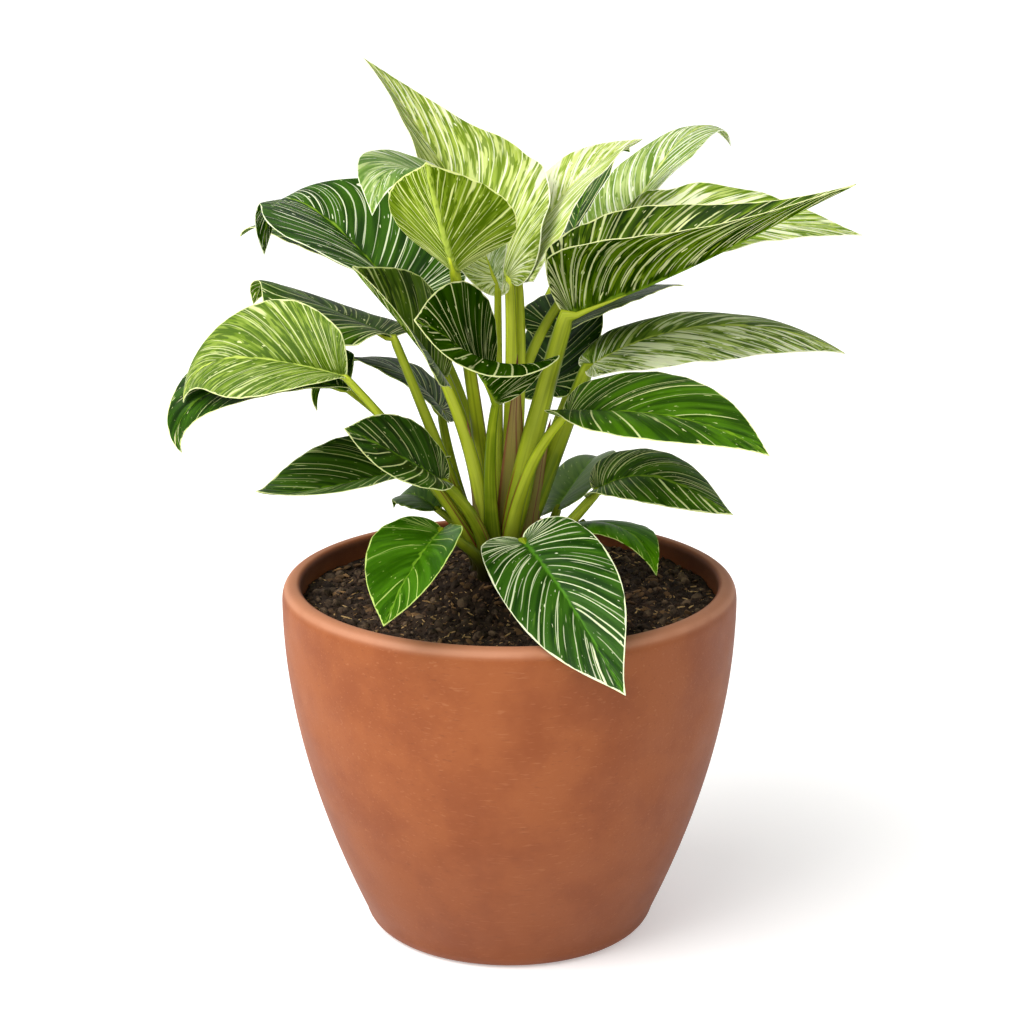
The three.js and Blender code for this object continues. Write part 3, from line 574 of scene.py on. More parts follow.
class BirkinStalkSettings(bpy.types.PropertyGroup):
    green: bpy.props.FloatVectorProperty(
        name="Stalk green", description="Shaded side and foot of the stalks",
        default=paint(86, 114, 2), size=4, subtype="COLOR", min=0, max=1,
    )
    lime: bpy.props.FloatVectorProperty(
        name="Stalk lime", description="Paler streaks along the stalks",
        default=paint(206, 218, 54), size=4, subtype="COLOR", min=0, max=1,
    )
    sheath: bpy.props.FloatVectorProperty(
        name="Sheath margin", description="Dried margins of the sheaths along the stalks",
        default=paint(134, 66, 40), size=4, subtype="COLOR", min=0, max=1,
    )
    husk: bpy.props.FloatVectorProperty(
        name="Husk", description="Dried husks among the stalks",
        default=paint(176, 140, 84), size=4, subtype="COLOR", min=0, max=1,
    )


class BirkinBladeSettings(bpy.types.PropertyGroup):
    thickness: bpy.props.FloatProperty(
        name="Thickness", description="Thickness of a blade away from its midrib",
        default=BLADE_THICKNESS * MM, unit="LENGTH",
    )
    relief: bpy.props.FloatProperty(
        name="Vein relief", description="Depth of the side veins",
        default=0.35 * MM, unit="LENGTH",
    )


class BirkinStageSettings(bpy.types.PropertyGroup):
    floor: bpy.props.FloatVectorProperty(
        name="Floor", description="Colour of the floor",
        default=(0.9, 0.9, 0.9, 1), size=4, subtype="COLOR", min=0, max=1,
    )
    key: bpy.props.FloatProperty(
        name="Key light", description="Strength of the soft light from the upper left", default=2.1,
    )
    surround: bpy.props.FloatProperty(
        name="Surround", description="Strength of the even white light all round", default=0.52,
    )


# ---- Node helpers ------------------------------------------------------------------------------


def join(node, inputs):
    """Sets a node's inputs: a socket is linked, a value is put on the input itself."""
    for key, value in inputs.items():
        if isinstance(value, bpy.types.NodeSocket):
            node.id_data.links.new(value, node.inputs[key])
        else:
            node.inputs[key].default_value = value


def add(tree, kind, inputs=None, **settings):
    """A new node of that kind with its inputs joined."""
    made = tree.nodes.new(kind)
    for key, value in settings.items():
        setattr(made, key, value)
    join(made, inputs or {})
    return made


def follow(kind, inputs, **settings):
    """A new node in the tree that its input sockets belong to."""
    known = next(value for value in inputs.values() if isinstance(value, bpy.types.NodeSocket))
    return add(known.id_data, kind, inputs, **settings)


def calc(operation, a, b=0.0, clamp=False):
    return follow("ShaderNodeMath", {0: a, 1: b}, operation=operation, use_clamp=clamp).outputs[0]


def plus(a, b):
    return calc("ADD", a, b)


def minus(a, b):
    return calc("SUBTRACT", a, b)


def times(a, b):
    return calc("MULTIPLY", a, b)


def step(value, low, high):
    """0 below low, 1 above high and a smooth rise between."""
    inputs = {"Value": value, "From Min": low, "From Max": high}
    return follow("ShaderNodeMapRange", inputs, interpolation_type="SMOOTHSTEP").outputs[0]


def fall(value, low, high):
    """1 below low, 0 above high and a smooth fall between."""
    return minus(1.0, step(value, low, high))


def mix(factor, first, second):
    inputs = {0: factor, 6: first, 7: second}
    return follow("ShaderNodeMix", inputs, data_type="RGBA").outputs[2]


def cloud(vector, scale, detail=2.0, rough=0.5):
    inputs = {"Vector": vector, "Scale": scale, "Detail": detail, "Roughness": rough}
    return follow("ShaderNodeTexNoise", inputs).outputs[0]


def vectors(operation, a, b=(0.0, 0.0, 0.0)):
    return follow("ShaderNodeVectorMath", {0: a, 1: b}, operation=operation).outputs


def split(vector):
    """The three parts of a vector."""
    return follow("ShaderNodeSeparateXYZ", {0: vector}).outputs


def from_axis(place):
    """Distance of a place from the Z axis."""
    return vectors("LENGTH", vectors("MULTIPLY", place, (1, 1, 0))[0])["Value"]


def stretched(vector, scale, rotation=(0.0, 0.0, 0.0)):
    inputs = {"Vector": vector, "Rotation": rotation, "Scale": scale}
    return follow("ShaderNodeMapping", inputs).outputs[0]


def new_group(name, inputs, outputs):
    """An empty shader group with those sockets, and its input and output nodes."""
    tree = bpy.data.node_groups.new(name, "ShaderNodeTree")
    for way, sockets in (("INPUT", inputs), ("OUTPUT", outputs)):
        for label, kind in sockets.items():
            tree.interface.new_socket(label, in_out=way, socket_type=kind)
    return tree, tree.nodes.new("NodeGroupInput"), tree.nodes.new("NodeGroupOutput")


def new_material(name):
    """A node material with its Principled shader."""
    made = bpy.data.materials.new(name)
    made.use_nodes = True
    return made, made.node_tree, made.node_tree.nodes["Principled BSDF"]


def bump(shader, height, distance, strength=1.0):
    made = follow("ShaderNodeBump", {"Height": height, "Distance": distance, "Strength": strength})
    join(shader, {"Normal": made.outputs[0]})


# ---- Shader groups -----------------------------------------------------------------------------

# Socket of the stripes group that takes each number of a finish.
STRIPE_SOCKETS = {
    "lanes": "Lanes across", "bold": "Bold lines", "fine": "Fine lines", "flecks": "Flecks",
    "streaks": "Streaks", "pale_share": "Pale share", "dashes": "Dashes", "line": "Line width",
    "one_side": "One side", "rib": "Rib", "rib_clear": "Rib clear", "tip_clear": "Tip clear",
    "margin": "Margin",
}


def draws(number, seed):
    """Three random draws for a whole number."""
    pair = follow("ShaderNodeCombineXYZ", {0: number, 1: seed}).outputs[0]
    lot = follow("ShaderNodeTexWhiteNoise", {"Vector": pair}, noise_dimensions="2D")
    return follow("ShaderNodeSeparateColor", {0: lot.outputs["Color"]}).outputs


def stripes_group():
    """Stripes that follow the side veins. Veins holds the place on the blade, left half positive
    and right half negative, Edges the distance from midrib and margin and Lanes the width of the
    whole fan of veins at that place, both in millimetres."""
    tree, given, out = new_group(
        "Birkin stripes",
        {
            **{label: "NodeSocketVector" for label in ("Veins", "Edges", "Lanes")},
            **{label: "NodeSocketFloat" for label in ("Seed", *STRIPE_SOCKETS.values())},
            **{label: "NodeSocketColor" for label in ("Deep", "Leaf", "Pale", "Band", "Cream")},
        },
        {"Color": "NodeSocketColor", "Height": "NodeSocketFloat", "Gloss": "NodeSocketFloat"},
    )
    source = given.outputs
    place = split(source["Veins"])
    edges = split(source["Edges"])
    fan = split(source["Lanes"])[0]
    row = calc("ABSOLUTE", place[0])
    bias = times(calc("SIGN", place[0]), source["One side"])

    def shifted(label):
        return plus(source[label], bias)

    def along_veins(rows, run, shift, detail=1.5):
        """Noise drawn out along the veins: rows across them and run along them."""
        seed = plus(source["Seed"], shift)
        parts = {0: times(place[0], rows), 1: times(place[1], run), 2: seed}
        return cloud(follow("ShaderNodeCombineXYZ", parts).outputs[0], 1.0, detail)

    def share_mask(value, share, soft):
        """1 on that share of the noise, with a soft edge."""
        level = minus(0.76, times(share, 0.52))
        return step(value, minus(level, soft), plus(level, soft))

    def lots(number, shift):
        """Three random draws for each lane."""
        return draws(number, plus(source["Seed"], shift))

    def pinstripes(count, share, thin, thick, shortest, shift):
        """One line in each of count lanes between the veins, thin to thick millimetres wide.
        share is the part of the lanes that hold a line, shortest the least part of its vein that
        a line covers."""
        sway = minus(along_veins(times(count, 0.16), 1.0, shift, 1.0), 0.5)
        lane = plus(times(place[0], count), sway)
        number = calc("FLOOR", lane)
        lane_width = calc("DIVIDE", fan, count)
        spot = lots(number, shift)
        form = lots(number, shift + 7)
        centre = plus(times(spot[0], 0.4), 0.3)
        off = times(calc("ABSOLUTE", minus(calc("FRACT", lane), centre)), lane_width)
        start = times(times(spot[1], spot[1]), (1 - shortest) * 0.9)
        stop = plus(times(spot[2], 1.35 - shortest), shortest)
        begun = step(minus(place[1], start), -0.02, 0.12)
        ended = step(minus(place[1], stop), -0.22, 0.0)
        kept = minus(1.0, times(step(row, 0.6, 0.95), source["Tip clear"]))
        present = calc("LESS_THAN", form[0], times(share, kept))
        bead = plus(times(along_veins(times(count, 1.3), 5, shift + 2), 1.3), 0.35)
        broad = plus(times(times(form[1], form[1]), (thick - thin) / 2), thin / 2)
        broad = times(times(broad, source["Line width"]), times(bead, present))
        broad = times(broad, times(begun, minus(1.0, ended)))
        broad = calc("MINIMUM", broad, times(times(lane_width, 0.2), source["Line width"]))
        line = fall(off, times(broad, 0.7), plus(broad, 0.14))
        strength = plus(times(form[2], 0.5), 0.5)
        open_fan = plus(times(step(lane_width, 0.4, 1.6), 0.75), 0.25)
        return times(times(line, times(strength, open_fan)), step(broad, 0.02, 0.12))

    grain = along_veins(150, 2.5, 3.1)
    shade = step(along_veins(34, 1.1, 0), 0.36, 0.64)
    colour = mix(shade, source["Deep"], source["Leaf"])
    colour = mix(times(step(grain, 0.5, 0.7), 0.3), colour, source["Leaf"])
    pale = share_mask(along_veins(70, 2.2, 7.3, 2.5), shifted("Pale share"), 0.06)
    colour = mix(times(pale, 0.8), colour, source["Pale"])

    ragged = times(minus(along_veins(36, 4, 31.7), 0.5), 4.0)
    beside_rib = plus(edges[0], ragged)
    from_rib = calc("DIVIDE", beside_rib, minus(1.25, row))
    zone = times(source["Rib clear"], row)
    clear_of_rib = step(beside_rib, plus(times(zone, 0.8), 0.2), plus(times(zone, 1.6), 1.4))
    wash = times(minus(along_veins(5, 1.5, 71.3, 1.0), 0.5), 0.55)
    streaks = share_mask(plus(along_veins(52, 1.5, 23.9, 2.5), wash), shifted("Streaks"), 0.04)
    flecks = share_mask(along_veins(120, 9, 17.9, 1.0), shifted("Flecks"), 0.03)
    lanes = source["Lanes across"]
    bold = pinstripes(lanes, shifted("Bold lines"), 0.35, 1.0, 0.88, 13.3)
    fine = pinstripes(times(lanes, 2.3), shifted("Fine lines"), 0.2, 0.45, 0.45, 51.9)
    lines = calc("MAXIMUM", bold, times(fine, 0.7))
    patches = calc("MAXIMUM", times(streaks, 0.85), flecks)
    striped = times(calc("MAXIMUM", patches, lines), clear_of_rib)
    dashes = share_mask(along_veins(105, 4.5, 61.3, 1.5), source["Dashes"], 0.03)
    colour = mix(times(dashes, 0.85), colour, source["Deep"])
    colour = mix(times(striped, 0.95), colour, source["Cream"])

    rib = fall(from_rib, 0.2, calc("MAXIMUM", source["Rib"], 0.1))
    colour = mix(times(rib, 0.85), colour, source["Band"])
    wander = times(minus(along_veins(26, 1, 41.3), 0.5), 2.2)
    from_margin = plus(edges[1], wander)
    margin = fall(from_margin, times(source["Margin"], 0.6), source["Margin"])
    colour = mix(margin, colour, source["Cream"])

    pulse = calc("PINGPONG", times(place[0], 30.0), 1.0)
    quilt = step(pulse, 0.0, 0.6)
    height = plus(times(quilt, 0.7), times(grain, 0.4))
    height = plus(height, times(striped, 0.08))
    join(out, {"Color": colour, "Height": height, "Gloss": times(grain, 0.2)})
    return tree


def grit_group():
    """Clouds and fine grain of two colours, for clay, soil and bark."""
    tree, given, out = new_group(
        "Clouds and grit",
        {
            "Place": "NodeSocketVector", "Cloud scale": "NodeSocketFloat",
            "Grit scale": "NodeSocketFloat", "Light": "NodeSocketColor", "Dark": "NodeSocketColor",
        },
        {"Color": "NodeSocketColor", "Height": "NodeSocketFloat"},
    )
    source = given.outputs
    clouds = cloud(source["Place"], source["Cloud scale"], 4.0, 0.6)
    grit = cloud(source["Place"], source["Grit scale"], 3.0, 0.7)
    colour = mix(step(clouds, 0.33, 0.62), source["Dark"], source["Light"])
    speck = times(step(grit, 0.55, 0.72), 0.3)
    colour = mix(speck, colour, source["Dark"])
    join(out, {"Color": colour, "Height": grit})
    return tree


# ---- Materials ---------------------------------------------------------------------------------

# How much rougher an underside is, and the middle of the gloss that the stripes group gives.
UNDERSIDE_ROUGHER = 0.15
GLOSS_MIDDLE = 0.1
# How fast the painted shade on the inside of the pot narrows with depth.
INSIDE_SHADE_SLOPE = 0.25


def light_inside(shader, weight, radius, depth):
    """Light that scatters inside living tissue."""
    join(shader, {
        "Subsurface Weight": weight, "Subsurface Radius": radius, "Subsurface Scale": depth,
    })


def blade_material(name, stripes, look, seed, underside, relief):
    """Waxy upper face or matte underside of one blade."""
    made, tree, shader = new_material(f"{name} {'underside' if underside else 'upper face'}")
    lift = look["under"] if underside else 0.0
    values = {label: look[key] for key, label in STRIPE_SOCKETS.items()}
    values.update({"Seed": seed, "Band": look["band"], "Cream": look["cream"]})
    for key, target in (("deep", "leaf"), ("leaf", "pale"), ("pale", "cream")):
        values[key.title()] = tuple(a + (b - a) * lift for a, b in zip(look[key], look[target]))
    for label in ("veins", "edges", "lanes"):
        values[label.title()] = add(tree, "ShaderNodeUVMap", uv_map=label).outputs[0]
    pattern = add(tree, "ShaderNodeGroup", values, node_tree=stripes).outputs
    rough = look["rough"] + (UNDERSIDE_ROUGHER if underside else 0.0) - GLOSS_MIDDLE
    join(shader, {
        "Base Color": pattern["Color"],
        "Roughness": plus(pattern["Gloss"], rough),
        "Specular IOR Level": 0.0 if underside else look["sheen"],
    })
    bump(shader, pattern["Height"], relief, look["veins"] * (-1 if underside else 1))
    light_inside(shader, 0.2, (0.7, 1.0, 0.25), 1.2 * MM)
    return made


def gritty(place, grit, cloud_scale, grit_scale, light, dark):
    """Colour and height of the grit group at a place."""
    inputs = {
        "Place": place, "Cloud scale": cloud_scale, "Grit scale": grit_scale,
        "Light": light, "Dark": dark,
    }
    return follow("ShaderNodeGroup", inputs, node_tree=grit).outputs


def clay_material(settings, grit):
    """Unglazed fired clay: soft clouds, fine fibres and grains, darker at the foot, painted shade
    inside the pot and on its right side, paler where the lip's top shows wear, and a painted
    highlight round the lip's outer shoulder."""
    made, tree, shader = new_material("Fired clay")
    rim = settings.rim_diameter / 2
    lip = rim - POT_WALL * MM
    top = settings.height
    pale_clay = paint(188, 124, 84)
    dark_clay = paint(104, 54, 30)
    # Pale clay for the worn top of the lip and for the painted highlight on its outer shoulder.
    worn_and_highlight_clay = paint(206, 150, 118)
    place = add(tree, "ShaderNodeTexCoord").outputs["Object"]
    x, _, z = split(place)
    radius = from_axis(place)
    pattern = gritty(place, grit, 26.0, 1100.0, settings.clay, settings.burnt)
    colour = pattern["Color"]
    relief = times(pattern["Height"], 0.6)
    for turn, tone, share in (
        (0.6, pale_clay, 0.22), (2.3, dark_clay, 0.25), (1.4, pale_clay, 0.16),
    ):
        slanted = stretched(place, (90.0, 700.0, 700.0), (turn, turn * 0.7, turn * 1.9))
        fibres = step(cloud(slanted, 1.0), 0.62, 0.74)
        colour = mix(times(fibres, share), colour, tone)
        relief = plus(relief, times(fibres, 0.15))
    colour = mix(times(fall(z, 0.0, 150 * MM), 0.5), colour, dark_clay)
    # Painted shade: the right side, away from the key light, is darkened.
    colour = mix(times(step(x, 0.0, 130 * MM), 0.3), colour, dark_clay)
    # Painted shade on the inner wall below the lip, where the inside of the pot lies in shadow.
    slant = minus(radius, times(z, INSIDE_SHADE_SLOPE))
    inside = times(fall(radius, lip - 1 * MM, lip + 2 * MM), fall(slant, 65.5 * MM, 69 * MM))
    colour = mix(times(inside, 0.75), colour, paint(62, 32, 18))
    # Painted highlight: a thin, broken pale line round the lip's outer shoulder.
    line = fall(calc("ABSOLUTE", minus(z, top - 2.5 * MM)), 0.4 * MM, 2.2 * MM)
    outer = step(radius, rim - 6 * MM, rim - 4.5 * MM)
    painted_lip_highlight = times(times(line, outer), step(cloud(place, 40.0), 0.2, 0.5))
    colour = mix(times(painted_lip_highlight, 0.3), colour, worn_and_highlight_clay)
    # The top of the lip is paler where it is worn.
    crest = times(step(z, top - 6.5 * MM, top - 1.5 * MM), step(radius, lip + 1 * MM, lip + 3 * MM))
    join(shader, {
        "Base Color": mix(times(crest, 0.42), colour, worn_and_highlight_clay),
        "Roughness": plus(times(cloud(place, 40.0), 0.2), 0.48),
        "Specular IOR Level": 0.24,
    })
    bump(shader, relief, 0.25 * MM, 0.5)
    return made


def earth_material(name, grit, light, dark, cloud_scale, rough, own_tones=False):
    """Soil, crumbs or bark: clouds of two colours with a rough broken surface. Strewn lumps have
    own tones, each one its share of the light colour."""
    made, tree, shader = new_material(name)
    place = add(tree, "ShaderNodeTexCoord").outputs["Object"]
    pattern = gritty(place, grit, cloud_scale, 1400.0, light, dark)
    colour = pattern["Color"]
    if own_tones:
        tone = add(tree, "ShaderNodeAttribute", attribute_name="tone").outputs["Fac"]
        colour = mix(step(tone, 0.2, 0.9), mix(0.65, colour, dark), colour)
    join(shader, {"Base Color": colour, "Roughness": rough, "Specular IOR Level": 0.25})
    bump(shader, pattern["Height"], 0.6 * MM, 0.8)
    return made


def stalk_material(settings):
    """Waxy stalk skin with red-brown margins along the sheath, a painted highlight down its middle,
    painted shade along its edges and painted shade just above the soil. The whole part of the
    skin map's second value is the stalk's number; the tone map holds how lime the stalk is."""
    made, tree, shader = new_material("Stalk skin")
    uv = add(tree, "ShaderNodeUVMap", uv_map="skin").outputs[0]
    own = split(add(tree, "ShaderNodeUVMap", uv_map="tone").outputs[0])[0]
    place = add(tree, "ShaderNodeTexCoord").outputs["Object"]
    grazing = add(tree, "ShaderNodeLayerWeight", {"Blend": 0.35}).outputs["Facing"]
    part = split(uv)
    number = calc("FLOOR", part[1])
    height = minus(part[1], number)
    long_streaks = stretched(uv, (16.0, 2.0, 1.0))
    streaks = cloud(long_streaks, 1.0, 3.0)
    green_streaks = cloud(vectors("ADD", long_streaks, (5, 3, 9))[0], 1.0, 3.0)
    patches = cloud(place, 45.0)

    tone = calc("ADD", own, times(minus(height, 0.5), 0.3), True)
    colour = mix(tone, settings.green, settings.lime)
    colour = mix(times(step(streaks, 0.42, 0.72), 0.35), colour, settings.lime)
    colour = mix(times(step(patches, 0.45, 0.7), 0.3), colour, settings.lime)
    colour = mix(times(step(green_streaks, 0.48, 0.7), 0.5), colour, settings.green)
    # Painted highlight: a pale band down the middle of each stalk, where it faces the camera.
    middle = times(times(fall(grazing, 0.02, 0.3), 0.3), tone)
    colour = mix(middle, colour, paint(228, 234, 106))
    # Painted shade: the stalks' edges, seen at a grazing angle, are darkened.
    colour = mix(times(step(grazing, 0.2, 0.75), 0.72), colour, paint(72, 100, 0))
    # Painted shade: the stem and the stalks turn almost black-brown just above the soil.
    foot = fall(split(place)[2], (SOIL_LEVEL + 18) * MM, (SOIL_LEVEL + 54) * MM)
    colour = mix(times(foot, 0.96), colour, paint(42, 36, 14))

    around = plus(part[0], times(minus(cloud(long_streaks, 0.5), 0.5), 0.05))
    reach = plus(times(draws(number, 4.3)[1], 0.4), 0.3)
    run = fall(minus(height, reach), -0.1, 0.0)
    for edge in SHEATH_MARGINS:
        line = fall(calc("ABSOLUTE", minus(around, edge)), 0.006, 0.022)
        colour = mix(times(times(line, run), 0.85), colour, settings.sheath)
    join(shader, {
        "Base Color": colour,
        "Roughness": plus(times(patches, 0.2), 0.32),
        "Specular IOR Level": 0.1,
    })
    bump(shader, streaks, 0.2 * MM, 0.3)
    light_inside(shader, 0.25, (0.8, 1.0, 0.3), 2 * MM)
    return made


def husk_material(settings):
    """Papery dried husk with red-brown edges, keel and tip."""
    made, tree, shader = new_material("Dried husk")
    uv = add(tree, "ShaderNodeUVMap", uv_map="skin").outputs[0]
    around, height, _ = split(uv)
    fibres = cloud(stretched(uv, (14.0, 1.6, 1.0)), 1.0, 4.0)
    straw = mix(step(height, 0.45, 1.0), paint(130, 122, 34), settings.husk)
    colour = mix(step(fibres, 0.3, 0.6), paint(116, 98, 40), straw)
    wander = times(minus(cloud(height, 3.0), 0.5), 0.3)
    keel = fall(calc("ABSOLUTE", plus(minus(around, 0.55), wander)), 0.02, 0.06)
    colour = mix(times(keel, 0.8), colour, paint(112, 44, 26))
    side = plus(calc("ABSOLUTE", minus(around, 0.5)), times(minus(fibres, 0.5), 0.12))
    edge = calc("MAXIMUM", step(side, 0.36, 0.46), step(height, 0.86, 0.97))
    colour = mix(times(edge, 0.8), colour, paint(122, 58, 34))
    join(shader, {"Base Color": colour, "Roughness": 0.6})
    bump(shader, fibres, 0.3 * MM, 0.6)
    return made


def floor_material(settings):
    made, tree, shader = new_material("Pale floor")
    place = add(tree, "ShaderNodeTexCoord").outputs["Object"]
    join(shader, {
        "Base Color": mix(cloud(place, 2.0), settings.floor, (0.88, 0.88, 0.88, 1)),
        "Roughness": 0.9,
        "Specular IOR Level": 0.1,
        "Emission Color": (1, 1, 1, 1),
        "Emission Strength": 0.36,
    })
    return made


# ---- Mesh helpers ------------------------------------------------------------------------------


def make_piece(name, points, faces, materials, maps=None, slots=None, sharp=None):
    """A mesh object at the origin. points are in millimetres, maps are UV lists by face corner,
    slots the material of each face, and sharp says which pairs of points stay a hard edge."""
    mesh = bpy.data.meshes.new(name)
    mesh.from_pydata([tuple(MM * value for value in point) for point in points], [], faces)
    for label, values in (maps or {}).items():
        layer = mesh.uv_layers.new(name=label)
        layer.data.foreach_set("uv", np.asarray(values, dtype=np.float32).ravel())
    for material in materials:
        mesh.materials.append(material)
    mesh.polygons.foreach_set("use_smooth", [True] * len(mesh.polygons))
    if slots is not None:
        mesh.polygons.foreach_set("material_index", slots)
    if sharp:
        hard = mesh.attributes.new("sharp_edge", "BOOLEAN", "EDGE")
        for edge in mesh.edges:
            if tuple(sorted(edge.vertices)) in sharp:
                hard.data[edge.index].value = True
    mesh.update()
    made = bpy.data.objects.new(name, mesh)
    bpy.context.scene.collection.objects.link(made)
    return made


def belong(piece, slot, *nodes):
    """The piece rides with the plant and stands for those CAD nodes; slot is not used."""
    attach(piece, BODY)
    if nodes:
        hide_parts(*nodes)


def bezier(points, count):
    """Points of a Bezier curve of any degree."""
    u = np.linspace(0, 1, count)[:, None]
    level = [np.asarray(point, dtype=float)[None, :] * np.ones_like(u) for point in points]
    while len(level) > 1:
        level = [a * (1 - u) + b * u for a, b in zip(level, level[1:])]
    return level[0]


def smoothstep(value, low, high):
    part = np.clip((value - low) / (high - low), 0, 1)
    return part * part * (3 - 2 * part)


def unit(vector):
    return vector / np.linalg.norm(vector)


def lathe(profile, sides):
    """Points and faces of a profile turned round Z. The profile starts and ends on the axis and
    runs so that the faces point outwards when it goes from the underside up the outside."""
    points = [(0.0, 0.0, profile[0][1])]
    rings = profile[1:-1]
    for radius, height in rings:
        for side in range(sides):
            angle = 2 * math.pi * side / sides
            points.append((radius * math.cos(angle), radius * math.sin(angle), height))
    points.append((0.0, 0.0, profile[-1][1]))
    last = len(points) - 1
    faces = []
    for side in range(sides):
        following = (side + 1) % sides
        faces.append((0, 1 + following, 1 + side))
        for ring in range(len(rings) - 1):
            low = 1 + ring * sides
            high = low + sides
            faces.append((low + side, low + following, high + following, high + side))
        top = 1 + (len(rings) - 1) * sides
        faces.append((top + side, top + following, last))
    return points, faces


# ---- Pot ---------------------------------------------------------------------------------------


def outer_wall(rim, height):
    foot = (FOOT_DIAMETER / 2 + FOOT_ROUNDING, FOOT_ROUNDING)
    shoulder = (rim / 2, height - LIP_SHOULDER)
    low = (foot[0] + OUTER_FOOT_PULL[0], foot[1] + OUTER_FOOT_PULL[1])
    high = (shoulder[0], shoulder[1] - OUTER_LIP_PULL)
    return bezier((foot, low, high, shoulder), OUTER_STEPS)


def inner_wall(rim, height):
    lip = (rim / 2 - POT_WALL, height - LIP_INNER_ROUNDING)
    floor = (FOOT_DIAMETER / 2 - FLOOR_INSET, POT_FLOOR)
    high = (lip[0], lip[1] - INNER_LIP_PULL)
    low = (floor[0] + INNER_FOOT_PULL[0], floor[1] + INNER_FOOT_PULL[1])
    return bezier((lip, high, low, floor), INNER_STEPS)


def pot_profile(rim, height):
    """From the centre of the underside up the outer wall, over the lip and down to the floor."""
    outer = outer_wall(rim, height)
    inner = inner_wall(rim, height)
    underside = (FOOT_DIAMETER / 2, 0)
    corner = (FOOT_DIAMETER / 2 + FOOT_ROUNDING * 0.75, 0)
    crest = (rim / 2 - LIP_CREST_INSET, height)
    foot = bezier((underside, corner, outer[0]), FOOT_STEPS)
    shoulder = bezier((outer[-1], (rim / 2, height), crest), SHOULDER_STEPS)
    lip = bezier((crest, (rim / 2 - POT_WALL, height), inner[0]), LIP_STEPS)
    runs = [foot, outer[1:], shoulder[1:], lip[1:], inner[1:]]
    return [(0.0, 0.0), *[tuple(point) for run in runs for point in run], (0.0, float(POT_FLOOR))]


def build_pot(settings, grit):
    points, faces = lathe(pot_profile(settings.rim_diameter / MM, settings.height / MM), POT_SIDES)
    pot = make_piece("terracotta_pot", points, faces, [clay_material(settings, grit)])
    drains = []
    low, high = DRAIN_CUT
    radius = DRAIN_DIAMETER / 2
    spots, sides = lathe([(0.0, low), (radius, low), (radius, high), (0.0, high)], DRAIN_SIDES)
    for i in range(DRAIN_COUNT):
        angle = 2 * math.pi * i / DRAIN_COUNT + math.pi / 6
        middle = (DRAIN_CIRCLE / 2 * math.cos(angle), DRAIN_CIRCLE / 2 * math.sin(angle))
        hole = [(x + middle[0], y + middle[1], z) for x, y, z in spots]
        drain = make_piece(f"drain_cutter_{i}", hole, sides, [])
        cut = pot.modifiers.new("Drain", "BOOLEAN")
        cut.operation = "DIFFERENCE"
        cut.solver = "EXACT"
        cut.object = drain
        drains.append(drain)
    bake_modifiers(pot)
    for drain in drains:
        bpy.data.objects.remove(drain)
    belong(pot, "pot", "pot")


def bake_modifiers(piece):
    """Makes the modified shape the piece's own plain mesh."""
    graph = bpy.context.evaluated_depsgraph_get()
    mesh = bpy.data.meshes.new_from_object(piece.evaluated_get(graph), depsgraph=graph)
    piece.modifiers.clear()
    piece.data = mesh


# ---- Soil --------------------------------------------------------------------------------------


def soil_height(x, y):
    """Height of the uneven soil at a place, millimetres."""
    spot = Vector((x / SOIL_GRAIN, y / SOIL_GRAIN, 3.7))
    coarse = noise.fractal(spot * 0.7, 0.9, 2.0, 3)
    fine = noise.fractal(spot * 3.2, 0.8, 2.0, 3)
    from_stem = math.hypot(x - STEM_X, y - STEM_Y)
    heap = SOIL_HEAP * math.exp(-((from_stem / SOIL_HEAP_REACH) ** 2))
    return SOIL_LEVEL + heap + SOIL_SWELLS * coarse + SOIL_GRAINS * fine


def build_soil(settings, grit, rim, height):
    """Soil up to its level, its sides and foot a little inside the pot."""
    wall = inner_wall(rim, height)[::-1]
    wall = [(radius - SOIL_GAP, z + SOIL_GAP) for radius, z in wall if z < SOIL_LEVEL - 4]
    top_radius = wall[-1][0] + SOIL_GAP
    profile = [(0.0, POT_FLOOR + SOIL_GAP), *wall]
    profile += [
        (top_radius * (SOIL_RINGS - ring) / SOIL_RINGS, SOIL_LEVEL) for ring in range(SOIL_RINGS)
    ]
    profile.append((0.0, SOIL_LEVEL))
    points, faces = lathe(profile, SOIL_SIDES)
    points = [(x, y, soil_height(x, y) if z > SOIL_LEVEL - 1 else z) for x, y, z in points]
    dark = lit(settings.soil, SOIL_SHADE)
    soil = make_piece(
        "potting_soil", points, faces,
        [earth_material("Potting soil", grit, settings.soil, dark, 120.0, 0.95)],
    )
    belong(soil, "soil", "soil")
    return soil, top_radius


